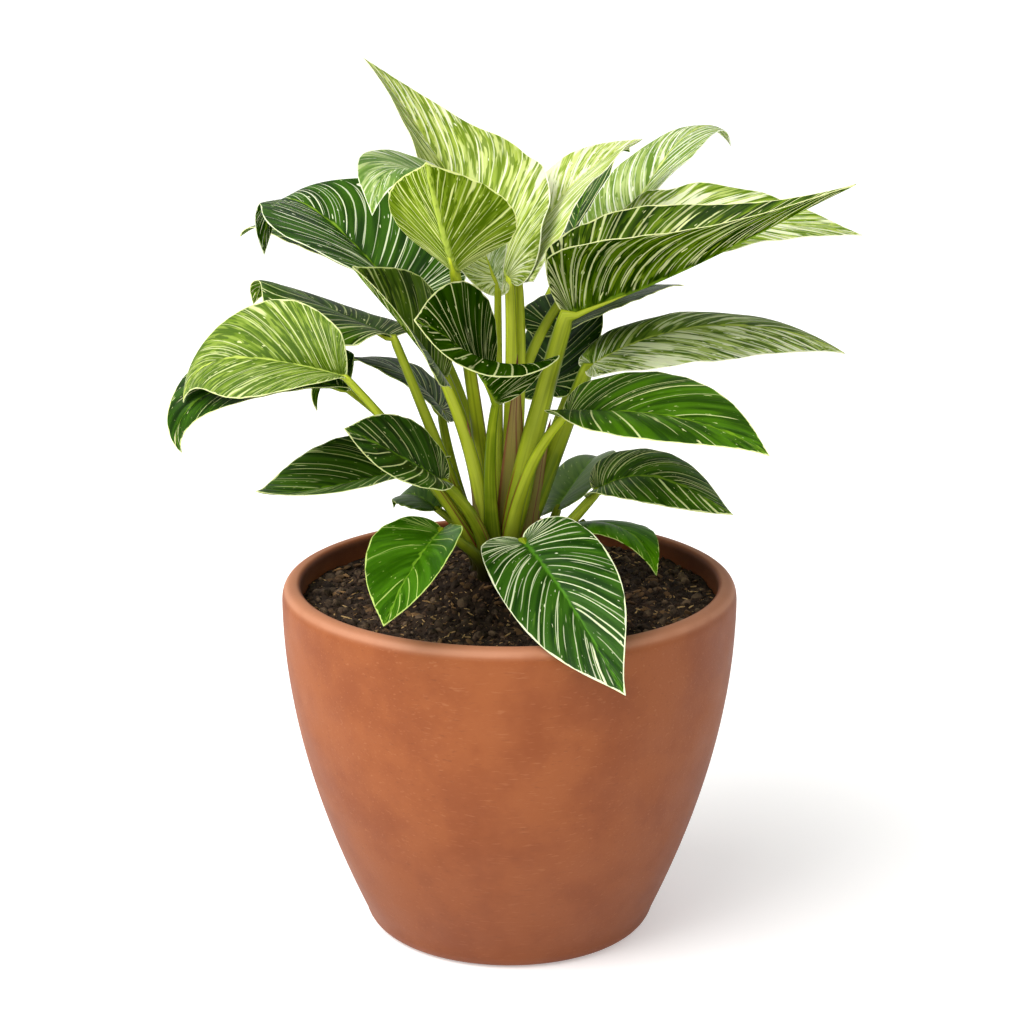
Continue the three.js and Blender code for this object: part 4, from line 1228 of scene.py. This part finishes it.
def scatter_tree():
    """Geometry Nodes: lumps strewn over the level parts of a surface and realised."""
    tree = bpy.data.node_groups.new("Strewn lumps", "GeometryNodeTree")
    sockets = {
        "Surface": "NodeSocketGeometry", "Density": "NodeSocketFloat", "Seed": "NodeSocketInt",
        "Reach": "NodeSocketFloat", "Smallest": "NodeSocketFloat", "Largest": "NodeSocketFloat",
        "Stretch": "NodeSocketVector", "Tilt": "NodeSocketFloat", "Raggedness": "NodeSocketFloat",
        "Detail": "NodeSocketInt", "Finish": "NodeSocketMaterial",
    }
    for label, kind in sockets.items():
        tree.interface.new_socket(label, in_out="INPUT", socket_type=kind)
    tree.interface.new_socket("Lumps", in_out="OUTPUT", socket_type="NodeSocketGeometry")
    source = tree.nodes.new("NodeGroupInput").outputs
    out = tree.nodes.new("NodeGroupOutput")

    def drawn(shift):
        """A random number from 0 to 1 for each lump."""
        inputs = {2: 0.0, 3: 1.0, "Seed": plus(source["Seed"], shift)}
        return follow("FunctionNodeRandomValue", inputs, data_type="FLOAT").outputs[1]

    def compared(value, operation, limit):
        return follow("FunctionNodeCompare", {0: value, 1: limit}, operation=operation).outputs[0]

    position = add(tree, "GeometryNodeInputPosition").outputs[0]
    normal = add(tree, "GeometryNodeInputNormal").outputs[0]
    inside = compared(from_axis(position), "LESS_THAN", source["Reach"])
    level = compared(split(normal)[2], "GREATER_THAN", 0.3)
    chosen = follow("FunctionNodeBooleanMath", {0: inside, 1: level}, operation="AND")
    strewn = follow("GeometryNodeDistributePointsOnFaces", {
        "Mesh": source["Surface"], "Selection": chosen.outputs[0],
        "Density": source["Density"], "Seed": source["Seed"],
    })
    ball = follow("GeometryNodeMeshIcoSphere", {"Radius": 0.5, "Subdivisions": source["Detail"]})
    lump = follow("GeometryNodeTransform", {
        "Geometry": ball.outputs[0], "Scale": source["Stretch"],
    })
    limit = follow("ShaderNodeCombineXYZ", {
        0: source["Tilt"], 1: source["Tilt"], 2: math.pi,
    }).outputs[0]
    turn = follow("FunctionNodeRandomValue", {
        0: vectors("MULTIPLY", limit, (-1, -1, -1))[0], 1: limit, "Seed": source["Seed"],
    }, data_type="FLOAT_VECTOR")
    size = follow("ShaderNodeMapRange", {
        "Value": calc("POWER", drawn(7.0), 2.2),
        "To Min": source["Smallest"], "To Max": source["Largest"],
    })
    placed = follow("GeometryNodeInstanceOnPoints", {
        "Points": strewn.outputs[0], "Instance": lump.outputs[0],
        "Rotation": turn.outputs[0], "Scale": size.outputs[0],
    })
    toned = follow("GeometryNodeStoreNamedAttribute", {
        "Geometry": placed.outputs[0], "Name": "tone", "Value": drawn(19.0),
    }, data_type="FLOAT", domain="INSTANCE")
    real = follow("GeometryNodeRealizeInstances", {0: toned.outputs[0]})
    ragged = follow("ShaderNodeTexNoise", {
        "Vector": position, "Scale": 420.0, "Detail": 2.0,
    }, noise_dimensions="3D")
    offset = follow("ShaderNodeVectorMath", {
        0: vectors("SUBTRACT", ragged.outputs[1], (0.5, 0.5, 0.5))[0],
        "Scale": source["Raggedness"],
    }, operation="SCALE")
    shaped = follow("GeometryNodeSetPosition", {
        "Geometry": real.outputs[0], "Offset": offset.outputs[0],
    })
    dressed = follow("GeometryNodeSetMaterial", {
        "Geometry": shaped.outputs[0], "Material": source["Finish"],
    })
    join(out, {0: dressed.outputs[0]})
    return tree


def strew(tree, name, ground, finish, **values):
    """One scattering of lumps over the ground, as a plain mesh."""
    piece = bpy.data.objects.new(name, ground.data.copy())
    bpy.context.scene.collection.objects.link(piece)
    modifier = piece.modifiers.new("Strewn", "NODES")
    modifier.node_group = tree
    sockets = {item.name: item.identifier for item in tree.interface.items_tree}
    for label, value in {**values, "Finish": finish}.items():
        modifier[sockets[label]] = value
    bake_modifiers(piece)
    belong(piece, "soil")


def build_litter(settings, grit, ground, reach):
    """Crumbs, lumps, bark chips and fibres lying on the soil."""
    tree = scatter_tree()
    dark = lit(settings.soil, LITTER_SHADE)
    light = lit(settings.soil, LITTER_LIGHT)
    crumb = earth_material("Soil crumbs", grit, light, dark, 130.0, 0.95, own_tones=True)
    lump = earth_material("Soil lumps", grit, paint(122, 100, 78), dark, 130.0, 0.9, own_tones=True)
    bark = earth_material(
        "Bark chips", grit, settings.bark, paint(58, 40, 26), 90.0, 0.85, own_tones=True,
    )
    fibre = earth_material(
        "Root fibres", grit, paint(212, 176, 120), paint(136, 100, 60), 70.0, 0.8,
    )
    inside = (reach - LITTER_CLEARANCE) * MM
    strew(
        tree, "soil_crumbs", ground, crumb, Density=settings.crumbs, Seed=3, Reach=inside,
        Smallest=1.0 * MM, Largest=4.6 * MM, Stretch=(1, 0.85, 0.75), Tilt=1.2,
        Raggedness=1.8 * MM, Detail=1,
    )
    strew(
        tree, "soil_lumps", ground, lump, Density=settings.lumps, Seed=21, Reach=inside - 2 * MM,
        Smallest=3.0 * MM, Largest=8.5 * MM, Stretch=(1, 0.8, 0.65), Tilt=1.0,
        Raggedness=2.6 * MM, Detail=2,
    )
    strew(
        tree, "bark_chips", ground, bark, Density=settings.chips, Seed=8, Reach=inside - 2 * MM,
        Smallest=1.5 * MM, Largest=6.0 * MM, Stretch=(1.9, 0.9, 0.45), Tilt=0.6,
        Raggedness=1.4 * MM, Detail=2,
    )
    strew(
        tree, "root_fibres", ground, fibre, Density=settings.fibres, Seed=5, Reach=inside,
        Smallest=1.2 * MM, Largest=5.0 * MM, Stretch=(1.5, 0.26, 0.24), Tilt=0.7,
        Raggedness=1.0 * MM, Detail=1,
    )


# ---- Stalks ------------------------------------------------------------------------------------


def full_leaf(name):
    return {**USUAL, **LEAVES[name]}


def stalk_points(leaf):
    """Root, knee and joint of a stalk: outer leaves grow lower and further out of the stem."""
    joint = np.array(leaf["joint"], dtype=float)
    stem = np.array((STEM_X, STEM_Y, 0.0))
    outward = unit((joint - stem) * (1, 1, 0))
    lowest = LOW_LEAF_HEIGHT - LEAF_HEIGHT_BLEND
    height = smoothstep(joint[2], lowest, HIGH_LEAF_HEIGHT + LEAF_HEIGHT_BLEND)
    far, near = STALK_ROOT_REACH
    root = stem + outward * ((far + (near - far) * height) * STEM_DIAMETER / 2)
    root[2] = LOWEST_STALK_ROOT + (HIGHEST_STALK_ROOT - LOWEST_STALK_ROOT) * height
    return root, np.array(leaf["knee"], dtype=float), joint


def tube(centres, radii, spreads, side):
    """Rings round a centre line, widened by spread and with a shallow groove on the back."""
    rings = []
    for i, centre in enumerate(centres):
        along = unit(centres[min(i + 1, len(centres) - 1)] - centres[max(i - 1, 0)])
        across = unit(side - along * np.dot(along, side))
        back = np.cross(along, across)
        for k in range(STALK_SIDES):
            angle = 2 * math.pi * k / STALK_SIDES
            dent = 1 - STALK_GROOVE * max(0.0, math.cos(angle - math.pi / 2)) ** 6
            spot = centre + across * math.cos(angle) * radii[i] * spreads[i]
            rings.append(tuple(spot + back * math.sin(angle) * radii[i] * dent))
    return rings


def tube_faces(start, count):
    """Faces of a closed tube and the UV place of every corner: round it and along it."""
    sides = STALK_SIDES
    faces = []
    places = []
    for i in range(count - 1):
        for k in range(sides):
            following = (k + 1) % sides
            low = start + i * sides
            high = low + sides
            faces.append((low + k, low + following, high + following, high + k))
            u = (k / sides, (k + 1) / sides)
            v = (i / (count - 1), (i + 1) / (count - 1))
            places += [(u[0], v[0]), (u[1], v[0]), (u[1], v[1]), (u[0], v[1])]
    faces.append(tuple(start + k for k in range(sides))[::-1])
    places += [(0.5, 0.0)] * sides
    last = start + (count - 1) * sides
    faces.append(tuple(last + k for k in range(sides)))
    places += [(0.5, 1.0)] * sides
    return faces, places


def stalk_tube(leaf):
    """Rings of one stalk, running on a little way under the blade's midrib."""
    root, knee, joint = stalk_points(leaf)
    line = bezier((root, knee, joint), STALK_STEPS + 1)
    u = np.linspace(0, 1, STALK_STEPS + 1)
    slim = STALK_BASE_RADIUS + (STALK_TIP_RADIUS - STALK_BASE_RADIUS) * u**0.6
    radii = slim * leaf["stalk"] ** np.minimum(1, u * 3)
    spreads = SHEATH_SPREAD + (1 - SHEATH_SPREAD) * u
    under = np.array(UNDER_BLADE)
    tip = min(radii[-1], STALK_TIP_RADIUS) * np.array(UNDER_BLADE_SLIMMING)
    run = blade_points(leaf, under, np.zeros_like(under), 1)
    run = run - blade_axes(leaf, under)[1] * (tip * 0.8 + 0.2)[:, None]
    side = np.array((-(joint[1] - root[1]), joint[0] - root[0], 0.0))
    centres = np.vstack((line, run))
    radii = np.concatenate((radii, tip))
    spreads = np.concatenate((spreads, np.ones_like(tip)))
    return centres, radii, spreads, unit(side)


def build_stalks(settings):
    """Stem and all stalks as one piece."""
    points = []
    faces = []
    places = []
    tones = []
    for number, name in enumerate(LEAVES, start=1):
        centres, radii, spreads, side = stalk_tube(full_leaf(name))
        start = len(points)
        points += tube(centres, radii, spreads, side)
        some, where = tube_faces(start, len(centres))
        faces += some
        places += [(u, 0.99 * v + number) for u, v in where]
        tones += [(STALK_TONES[name], 0.0)] * len(where)
    radius = STEM_DIAMETER * STEM_WAIST / 2
    foot = SOIL_LEVEL - STEM_BURIED
    end = [(radius * share, STEM_TOP + lift) for share, lift in STEM_END]
    spots, sides = lathe([(0, foot), (radius, foot), *end], STEM_SIDES)
    start = len(points)
    points += [(x + STEM_X, y + STEM_Y, z) for x, y, z in spots]
    faces += [tuple(start + i for i in face) for face in sides]
    for face in sides:
        places += [(math.atan2(spots[i][1], spots[i][0]) / 6.3, spots[i][2] / 300) for i in face]
        tones += [(0.0, 0.0)] * len(face)
    maps = {"skin": places, "tone": tones}
    piece = make_piece("stem_and_stalks", points, faces, [stalk_material(settings)], maps)
    belong(piece, "stalks", "crown")


def build_husks(settings):
    """Dried husks, each a thin gutter that narrows to a point."""
    finish = husk_material(settings)
    rows = HUSK_ROWS
    columns = HUSK_COLUMNS
    count = (rows + 1) * (columns + 1)

    def spot_of(i, j):
        return i * (columns + 1) + j

    def place_of(index):
        i, j = divmod(index % count, columns + 1)
        return (j / columns, i / rows)

    rim = [spot_of(0, j) for j in range(columns)]
    rim += [spot_of(i, columns) for i in range(rows)]
    rim += [spot_of(rows, j) for j in range(columns, 0, -1)]
    rim += [spot_of(i, 0) for i in range(rows, 0, -1)]
    faces = []
    for i in range(rows):
        for j in range(columns):
            quad = (spot_of(i, j), spot_of(i, j + 1), spot_of(i + 1, j + 1), spot_of(i + 1, j))
            faces += [quad, tuple(count + k for k in reversed(quad))]
    for a, b in zip(rim, rim[1:] + rim[:1]):
        faces.append((b, a, count + a, count + b))
    maps = {"skin": [place_of(k) for face in faces for k in face]}

    for number, husk in enumerate(HUSKS):
        foot = np.array(husk["foot"], dtype=float)
        lean = np.array(husk["tip"], dtype=float) - foot
        up = unit(lean)
        angle = math.radians(husk["facing"])
        across = unit(np.cross(up, (math.cos(angle), math.sin(angle), 0)))
        outward = np.cross(across, up)
        skins = [[], []]
        for i in range(rows + 1):
            v = i / rows
            half = husk["width"] / 2 * (1 - v**2.4) * (1 + 0.12 * math.sin(5 * v + number))
            for j in range(columns + 1):
                u = 2 * j / columns - 1
                curl = -0.35 * half * u * u
                sway = 0.8 * math.sin(4.2 * v + 1.3 * number) * v
                spot = foot + lean * v + across * (u * half + sway) + outward * curl
                for skin, lift in zip(skins, (0.5, -0.5)):
                    skin.append(spot + outward * lift * HUSK_THICKNESS)
        points = [tuple(point) for point in skins[0] + skins[1]]
        piece = make_piece(f"dried_husk_{number + 1}", points, faces, [finish], maps)
        belong(piece, "stalks")


# ---- Blades ------------------------------------------------------------------------------------


def midrib_direction(leaf, fraction):
    heading = np.radians(leaf["heading"] + leaf["swing"] * fraction)
    slope = np.radians(leaf["rise"] - leaf["droop"] * fraction - leaf["hook"] * fraction**4)
    level = np.cos(slope)
    return np.stack((level * np.cos(heading), level * np.sin(heading), np.sin(slope)), -1)


def midrib_points(leaf, along):
    """Points of the midrib; before the joint it goes straight back."""
    joint = np.array(leaf["joint"], dtype=float)
    middles = (np.arange(MIDRIB_STEPS) + 0.5) / MIDRIB_STEPS
    steps = midrib_direction(leaf, middles) * leaf["length"] / MIDRIB_STEPS
    line = np.vstack((joint, joint + np.cumsum(steps, axis=0)))
    places = np.linspace(0, 1, MIDRIB_STEPS + 1)
    inside = np.clip(along, 0, 1)
    points = np.stack([np.interp(inside, places, line[:, axis]) for axis in range(3)], -1)
    back = np.minimum(along, 0)[..., None] * leaf["length"]
    return points + midrib_direction(leaf, np.zeros_like(along)) * back


def blade_axes(leaf, fraction):
    """Directions across and above the midrib."""
    forward = midrib_direction(leaf, fraction)
    heading = np.radians(leaf["heading"] + leaf["swing"] * fraction)
    level = np.stack((-np.sin(heading), np.cos(heading), np.zeros_like(heading)), -1)
    above = np.cross(forward, level)
    bank = np.radians(leaf["roll"] + leaf["twist"] * fraction)[..., None]
    side = level * np.cos(bank) + above * np.sin(bank)
    up = above * np.cos(bank) - level * np.sin(bank)
    return side, up


def blade_points(leaf, along, across, half):
    """Points of the blade at places of the flat outline: along and across are fractions of the
    length and of the half width, and half is 1 on the left of the midrib and -1 on the right."""
    fraction = np.clip(along, 0, 1)
    side, up = blade_axes(leaf, fraction)
    outer = np.clip((along - NECK_REACH) / (1 - NECK_REACH), 0, 1)
    base = np.clip((NECK_REACH - along) / NECK_WIDTH, 0, 1)
    neck = (leaf["neck"][0] if half > 0 else leaf["neck"][1]) * base**2 * (3 - 2 * base)
    reach = across * (1 - leaf["taper"] * np.sin(np.pi * outer**1.5)) * (1 - neck)
    distance = reach * leaf["width"] / 2
    fold = leaf["fold"][0] + (leaf["fold"][1] - leaf["fold"][0]) * fraction
    cup = leaf["cup"][0] if half > 0 else leaf["cup"][1]
    angle = np.radians(fold + cup * reach)
    phase = leaf["waves"] * along + (0 if half > 0 else 0.25)
    wave = leaf["ripple"] * np.sin(2 * np.pi * phase) * np.clip(reach, 0, 1) ** 2
    waves, by_half, by_length = FLUTTER_WAVES
    beat = waves * along + by_half * half + by_length * leaf["length"]
    wave += MARGIN_FLUTTER * np.sin(2 * np.pi * beat) * np.clip(reach, 0, 1) ** 3
    points = midrib_points(leaf, along) + side * (half * distance * np.cos(angle))[..., None]
    return points + up * (distance * np.sin(angle) + wave)[..., None]


def half_blade(row):
    """Catmull-Rom curve through the outline's points; row runs from 0 to 1."""
    place = row * (len(HALF_BLADE) - 1)
    index = min(int(place), len(HALF_BLADE) - 2)
    t = place - index
    ends = [max(index - 1, 0), index, index + 1, min(index + 2, len(HALF_BLADE) - 1)]
    p0, p1, p2, p3 = (HALF_BLADE[i] for i in ends)
    v0 = (p2 - p0) / 2
    v1 = (p3 - p1) / 2
    cubic = (2 * p1 - 2 * p2 + v0 + v1) * t**3
    return cubic + (-3 * p1 + 3 * p2 - 2 * v0 - v1) * t**2 + v0 * t + p1


def vein_place(leaf, row, columns):
    """Places on the flat half blade along the vein that ends at that row of the margin."""
    end = half_blade(row).copy()
    if end[0] < 0:
        end[0] *= leaf["lobes"]
    climb = 0.05 * row + 0.95 * max((row - 0.4) / 0.6, 0) ** 2.1
    root = np.array((LAST_VEIN_ROOT * climb, 0.0))
    bend = np.array((root[0] + (end[0] - root[0]) * VEIN_BEND[0], end[1] * VEIN_BEND[1]))
    t = np.asarray(columns, dtype=float)[:, None]
    return root * (1 - t) ** 2 + bend * 2 * t * (1 - t) + end * t**2


def margin_line(leaf):
    """The flat margin in millimetres."""
    rows = np.linspace(0, 1, MARGIN_SAMPLES)
    ends = np.array([vein_place(leaf, row, [1.0])[0] for row in rows])
    return ends * (leaf["length"], leaf["width"] / 2)


def fan_widths(leaf, row):
    """Millimetres across the veins for one whole unit of row, at each column of the sheet."""
    size = np.array((leaf["length"], leaf["width"] / 2))
    low, high = max(row - FAN_STEP, 0), min(row + FAN_STEP, 1)
    change = vein_place(leaf, high, BLADE_COLUMNS) - vein_place(leaf, low, BLADE_COLUMNS)
    change = change * size / (high - low)
    ahead = np.gradient(vein_place(leaf, row, BLADE_COLUMNS) * size, axis=0)
    ahead /= np.maximum(np.linalg.norm(ahead, axis=1), 1e-6)[:, None]
    return np.abs(change[:, 0] * ahead[:, 1] - change[:, 1] * ahead[:, 0])


def distance_to_line(points, line):
    """Shortest distance of each flat point to the line."""
    start = line[:-1][None]
    run = (line[1:] - line[:-1])[None]
    gap = points[:, None] - start
    share = np.clip((gap * run).sum(-1) / np.maximum((run * run).sum(-1), 1e-9), 0, 1)
    return np.linalg.norm(gap - share[..., None] * run, axis=-1).min(1)


def blade_sheet(leaf):
    """The middle surface: points, faces, each point's row and column, and its flat distances from
    the midrib and the margin with the width of the fan of veins there."""
    rows = BLADE_ROWS
    last = len(BLADE_COLUMNS) - 1
    flat_size = np.array((leaf["length"], leaf["width"] / 2))
    margin = margin_line(leaf)
    points, places, distances = [], [], []
    index = {1: np.zeros((rows + 1, last + 1), int), -1: np.zeros((rows + 1, last + 1), int)}
    for half in (1, -1):
        for row in range(rows + 1):
            flat = vein_place(leaf, row / rows, BLADE_COLUMNS)
            spots = blade_points(leaf, flat[:, 0], flat[:, 1], half)
            from_margin = distance_to_line(flat * flat_size, margin)
            fan = fan_widths(leaf, row / rows)
            for column in range(last + 1):
                if row == 0 and column > 0:
                    index[half][row, column] = index[half][0, 0]
                    continue
                if half < 0 and (column == 0 or row in (0, rows)):
                    index[half][row, column] = index[1][row, column]
                    continue
                index[half][row, column] = len(points)
                points.append(spots[column])
                places.append((row / rows, BLADE_COLUMNS[column]))
                distances.append((flat[column, 1] * flat_size[1], from_margin[column], fan[column]))
    faces, halves = [], []
    for half in (1, -1):
        ids = index[half]
        for row in range(rows):
            for column in range(last):
                corners = [ids[row, column], ids[row + 1, column], ids[row + 1, column + 1]]
                if row > 0:
                    corners.append(ids[row, column + 1])
                faces.append(tuple(corners if half > 0 else reversed(corners)))
                halves.append(half)
    edges = {half: [index[half][row, last] for row in range(rows + 1)] for half in (1, -1)}
    return np.array(points), faces, halves, np.array(places), np.array(distances), edges


def sheet_normals(points, faces):
    """Unit normals at the points, each one the mean of the faces round it."""
    normals = np.zeros_like(points)
    for face in faces:
        a, b, c = points[list(face[:3])]
        if len(face) == 4:
            d = points[face[3]]
            turn = np.cross(b - a, d - a) + np.cross(c - b, d - b)
        else:
            turn = np.cross(b - a, c - a)
        for i in face:
            normals[i] += turn
    return normals / np.maximum(np.linalg.norm(normals, axis=1), 1e-9)[:, None]


def blade_mesh(name, leaf, materials, thickness):
    """A blade with its upper face, its underside with the raised midrib, and its margin."""
    points, faces, halves, places, distances, edges = blade_sheet(leaf)
    normals = sheet_normals(points, faces)
    count = len(points)
    along = np.clip(places[:, 0], 0, 1)
    near_rib = np.exp(-((distances[:, 0] / MIDRIB_WIDTH) ** 2))
    ridge = MIDRIB_DEPTH * (1 - MIDRIB_FADE * along) * near_rib
    ridge *= leaf["length"] / MIDRIB_LEAF_LENGTH
    groove = MIDRIB_GROOVE * (1 - along) * near_rib
    share = MARGIN_THIN_SHARE + distances[:, 1] / MARGIN_THIN_WIDTH
    thin = thickness / MM / 2 * np.clip(share, MARGIN_THIN_SHARE, 1)
    upper = points + normals * (thin - groove)[:, None]
    lower = points - normals * (thin + ridge)[:, None]
    all_faces = list(faces)
    all_halves = list(halves)
    slots = [0] * len(faces)
    for face, half in zip(faces, halves):
        all_faces.append(tuple(count + i for i in reversed(face)))
        all_halves.append(half)
        slots.append(1)
    sharp = set()
    for half in (1, -1):
        for a, b in zip(edges[half], edges[half][1:]):
            strip = (a, b, count + b, count + a)
            all_faces.append(strip if half > 0 else tuple(reversed(strip)))
            all_halves.append(half)
            slots.append(1)
            sharp.add(tuple(sorted((int(a), int(b)))))
            sharp.add(tuple(sorted((int(count + a), int(count + b)))))
    veins, borders, lanes = [], [], []
    for face, half in zip(all_faces, all_halves):
        for corner in face:
            row, column = places[corner % count]
            veins.append((half * (row + HALVES_APART), column))
            borders.append(tuple(distances[corner % count, :2]))
            lanes.append((distances[corner % count, 2], half))
    both = [tuple(point) for point in np.vstack((upper, lower))]
    clean = [tuple(int(i) for i in face) for face in all_faces]
    maps = {"veins": veins, "edges": borders, "lanes": lanes}
    return make_piece(f"blade_{name}", both, clean, materials, maps, slots, sharp)


def build_blades(settings):
    """All 28 blades, each standing for its own node."""
    stripes = stripes_group()
    for number, name in enumerate(LEAVES):
        kind, changes = BLADE_LOOKS[name]
        look = {**USUAL_FINISH, **FINISHES[kind], **changes}
        seed = 1.7 + 5.3 * number
        finishes = [
            blade_material(f"Blade {name}", stripes, look, seed, underside, settings.relief)
            for underside in (False, True)
        ]
        piece = blade_mesh(name, full_leaf(name), finishes, settings.thickness)
        belong(piece, look["slot"], f"leaf_{name}")


# ---- Stage -------------------------------------------------------------------------------------

CAMERA_PLACE = (0.0014, -1.3256, 0.6126)
CAMERA_PITCH = 15.883
CAMERA_FOCAL_PIXELS = 2520.5
FRAME_PIXELS = 1024
SENSOR = 36.0

FLOOR_SIZE = 60
KEY_PLACE = (-1.75, -1.0, 2.75)
KEY_TARGET = (0, 0, 0.2)
KEY_SPREAD = 64
KEY_COLOUR = (1.0, 0.98, 0.95)
SOFTBOX_PLACE = (-0.9, -0.7, 1.3)
SOFTBOX_TARGET = (0, 0, 0.3)
SOFTBOX_SIZE = (1.2, 0.8)
SOFTBOX_WATTS = 14


def add_light(name, kind, place, target, **settings):
    """A light at that place, aimed at the target."""
    light = bpy.data.lights.new(name, kind)
    for key, value in settings.items():
        setattr(light, key, value)
    made = bpy.data.objects.new(name, light)
    made.location = place
    made.rotation_euler = (Vector(target) - made.location).to_track_quat("-Z", "Y").to_euler()
    bpy.context.scene.collection.objects.link(made)


def build_stage(settings):
    """Floor, even white surround, soft lights and the camera."""
    bpy.ops.mesh.primitive_plane_add(size=FLOOR_SIZE, location=(0, 0, 0))
    floor = bpy.context.object
    floor.name = "floor"
    floor.data.materials.append(floor_material(settings))

    world = bpy.data.worlds.new("White surround")
    world.use_nodes = True
    sky = world.node_tree.nodes["Background"]
    sky.inputs["Color"].default_value = (1, 1, 1, 1)
    sky.inputs["Strength"].default_value = settings.surround
    bpy.context.scene.world = world

    add_light(
        "Key", "SUN", KEY_PLACE, KEY_TARGET,
        energy=settings.key, angle=math.radians(KEY_SPREAD), color=KEY_COLOUR,
    )
    add_light(
        "Softbox", "AREA", SOFTBOX_PLACE, SOFTBOX_TARGET,
        shape="RECTANGLE", size=SOFTBOX_SIZE[0], size_y=SOFTBOX_SIZE[1], energy=SOFTBOX_WATTS,
    )

    lens = bpy.data.cameras.new("Camera")
    lens.sensor_width = SENSOR
    lens.lens = CAMERA_FOCAL_PIXELS / FRAME_PIXELS * SENSOR
    lens.clip_end = 100
    camera = bpy.data.objects.new("Camera", lens)
    camera.location = CAMERA_PLACE
    camera.rotation_euler = (math.radians(90 - CAMERA_PITCH), 0, 0)
    bpy.context.scene.collection.objects.link(camera)
    bpy.context.scene.camera = camera
    bpy.context.scene.view_settings.view_transform = "Standard"


# ---- Operators and panel -----------------------------------------------------------------------


class BIRKIN_OT_pot(bpy.types.Operator):
    """Build the terracotta pot"""

    bl_idname = "birkin.pot"
    bl_label = "Pot"

    def execute(self, context):
        build_pot(context.scene.birkin_pot, shared_grit())
        return {"FINISHED"}


class BIRKIN_OT_soil(bpy.types.Operator):
    """Fill the pot with soil, crumbs, bark chips and fibres"""

    bl_idname = "birkin.soil"
    bl_label = "Soil"

    def execute(self, context):
        pot = context.scene.birkin_pot
        soil, reach = build_soil(
            context.scene.birkin_soil, shared_grit(), pot.rim_diameter / MM, pot.height / MM,
        )
        build_litter(context.scene.birkin_soil, shared_grit(), soil, reach)
        return {"FINISHED"}


class BIRKIN_OT_stalks(bpy.types.Operator):
    """Grow the stem, the stalks and the dried husks"""

    bl_idname = "birkin.stalks"
    bl_label = "Stem, stalks and husks"

    def execute(self, context):
        build_stalks(context.scene.birkin_stalks)
        build_husks(context.scene.birkin_stalks)
        return {"FINISHED"}


class BIRKIN_OT_blades(bpy.types.Operator):
    """Grow the leaf blades"""

    bl_idname = "birkin.blades"
    bl_label = "Leaf blades"

    def execute(self, context):
        build_blades(context.scene.birkin_blades)
        return {"FINISHED"}


class BIRKIN_OT_stage(bpy.types.Operator):
    """Set up the floor, the lights and the camera"""

    bl_idname = "birkin.stage"
    bl_label = "Stage"

    def execute(self, context):
        build_stage(context.scene.birkin_stage)
        return {"FINISHED"}


class BIRKIN_PT_panel(bpy.types.Panel):
    """Lists the pieces of the potted plant"""

    bl_idname = "BIRKIN_PT_panel"
    bl_label = "Potted Birkin"
    bl_space_type = "VIEW_3D"
    bl_region_type = "UI"
    bl_category = "Birkin"

    def draw(self, context):
        for group, operator in zip(SETTINGS, OPERATORS):
            box = self.layout.box()
            settings = getattr(context.scene, group)
            for label in settings.bl_rna.properties.keys():
                if label not in ("rna_type", "name"):
                    box.prop(settings, label)
            box.operator(operator.bl_idname)


SETTINGS = {
    "birkin_pot": BirkinPotSettings,
    "birkin_soil": BirkinSoilSettings,
    "birkin_stalks": BirkinStalkSettings,
    "birkin_blades": BirkinBladeSettings,
    "birkin_stage": BirkinStageSettings,
}
OPERATORS = (BIRKIN_OT_pot, BIRKIN_OT_soil, BIRKIN_OT_stalks, BIRKIN_OT_blades, BIRKIN_OT_stage)


def shared_grit():
    """The one grit group, made when it is first asked for."""
    return bpy.data.node_groups.get("Clouds and grit") or grit_group()


def register():
    for kind in (*SETTINGS.values(), *OPERATORS, BIRKIN_PT_panel):
        bpy.utils.register_class(kind)
    for name, kind in SETTINGS.items():
        setattr(bpy.types.Scene, name, bpy.props.PointerProperty(type=kind))


def unregister():
    for name in SETTINGS:
        delattr(bpy.types.Scene, name)
    for kind in reversed((*SETTINGS.values(), *OPERATORS, BIRKIN_PT_panel)):
        bpy.utils.unregister_class(kind)


def main():
    register()
    bpy.ops.birkin.pot()
    bpy.ops.birkin.soil()
    bpy.ops.birkin.stalks()
    bpy.ops.birkin.blades()
    bpy.ops.birkin.stage()


if __name__ == "__main__":
    main()
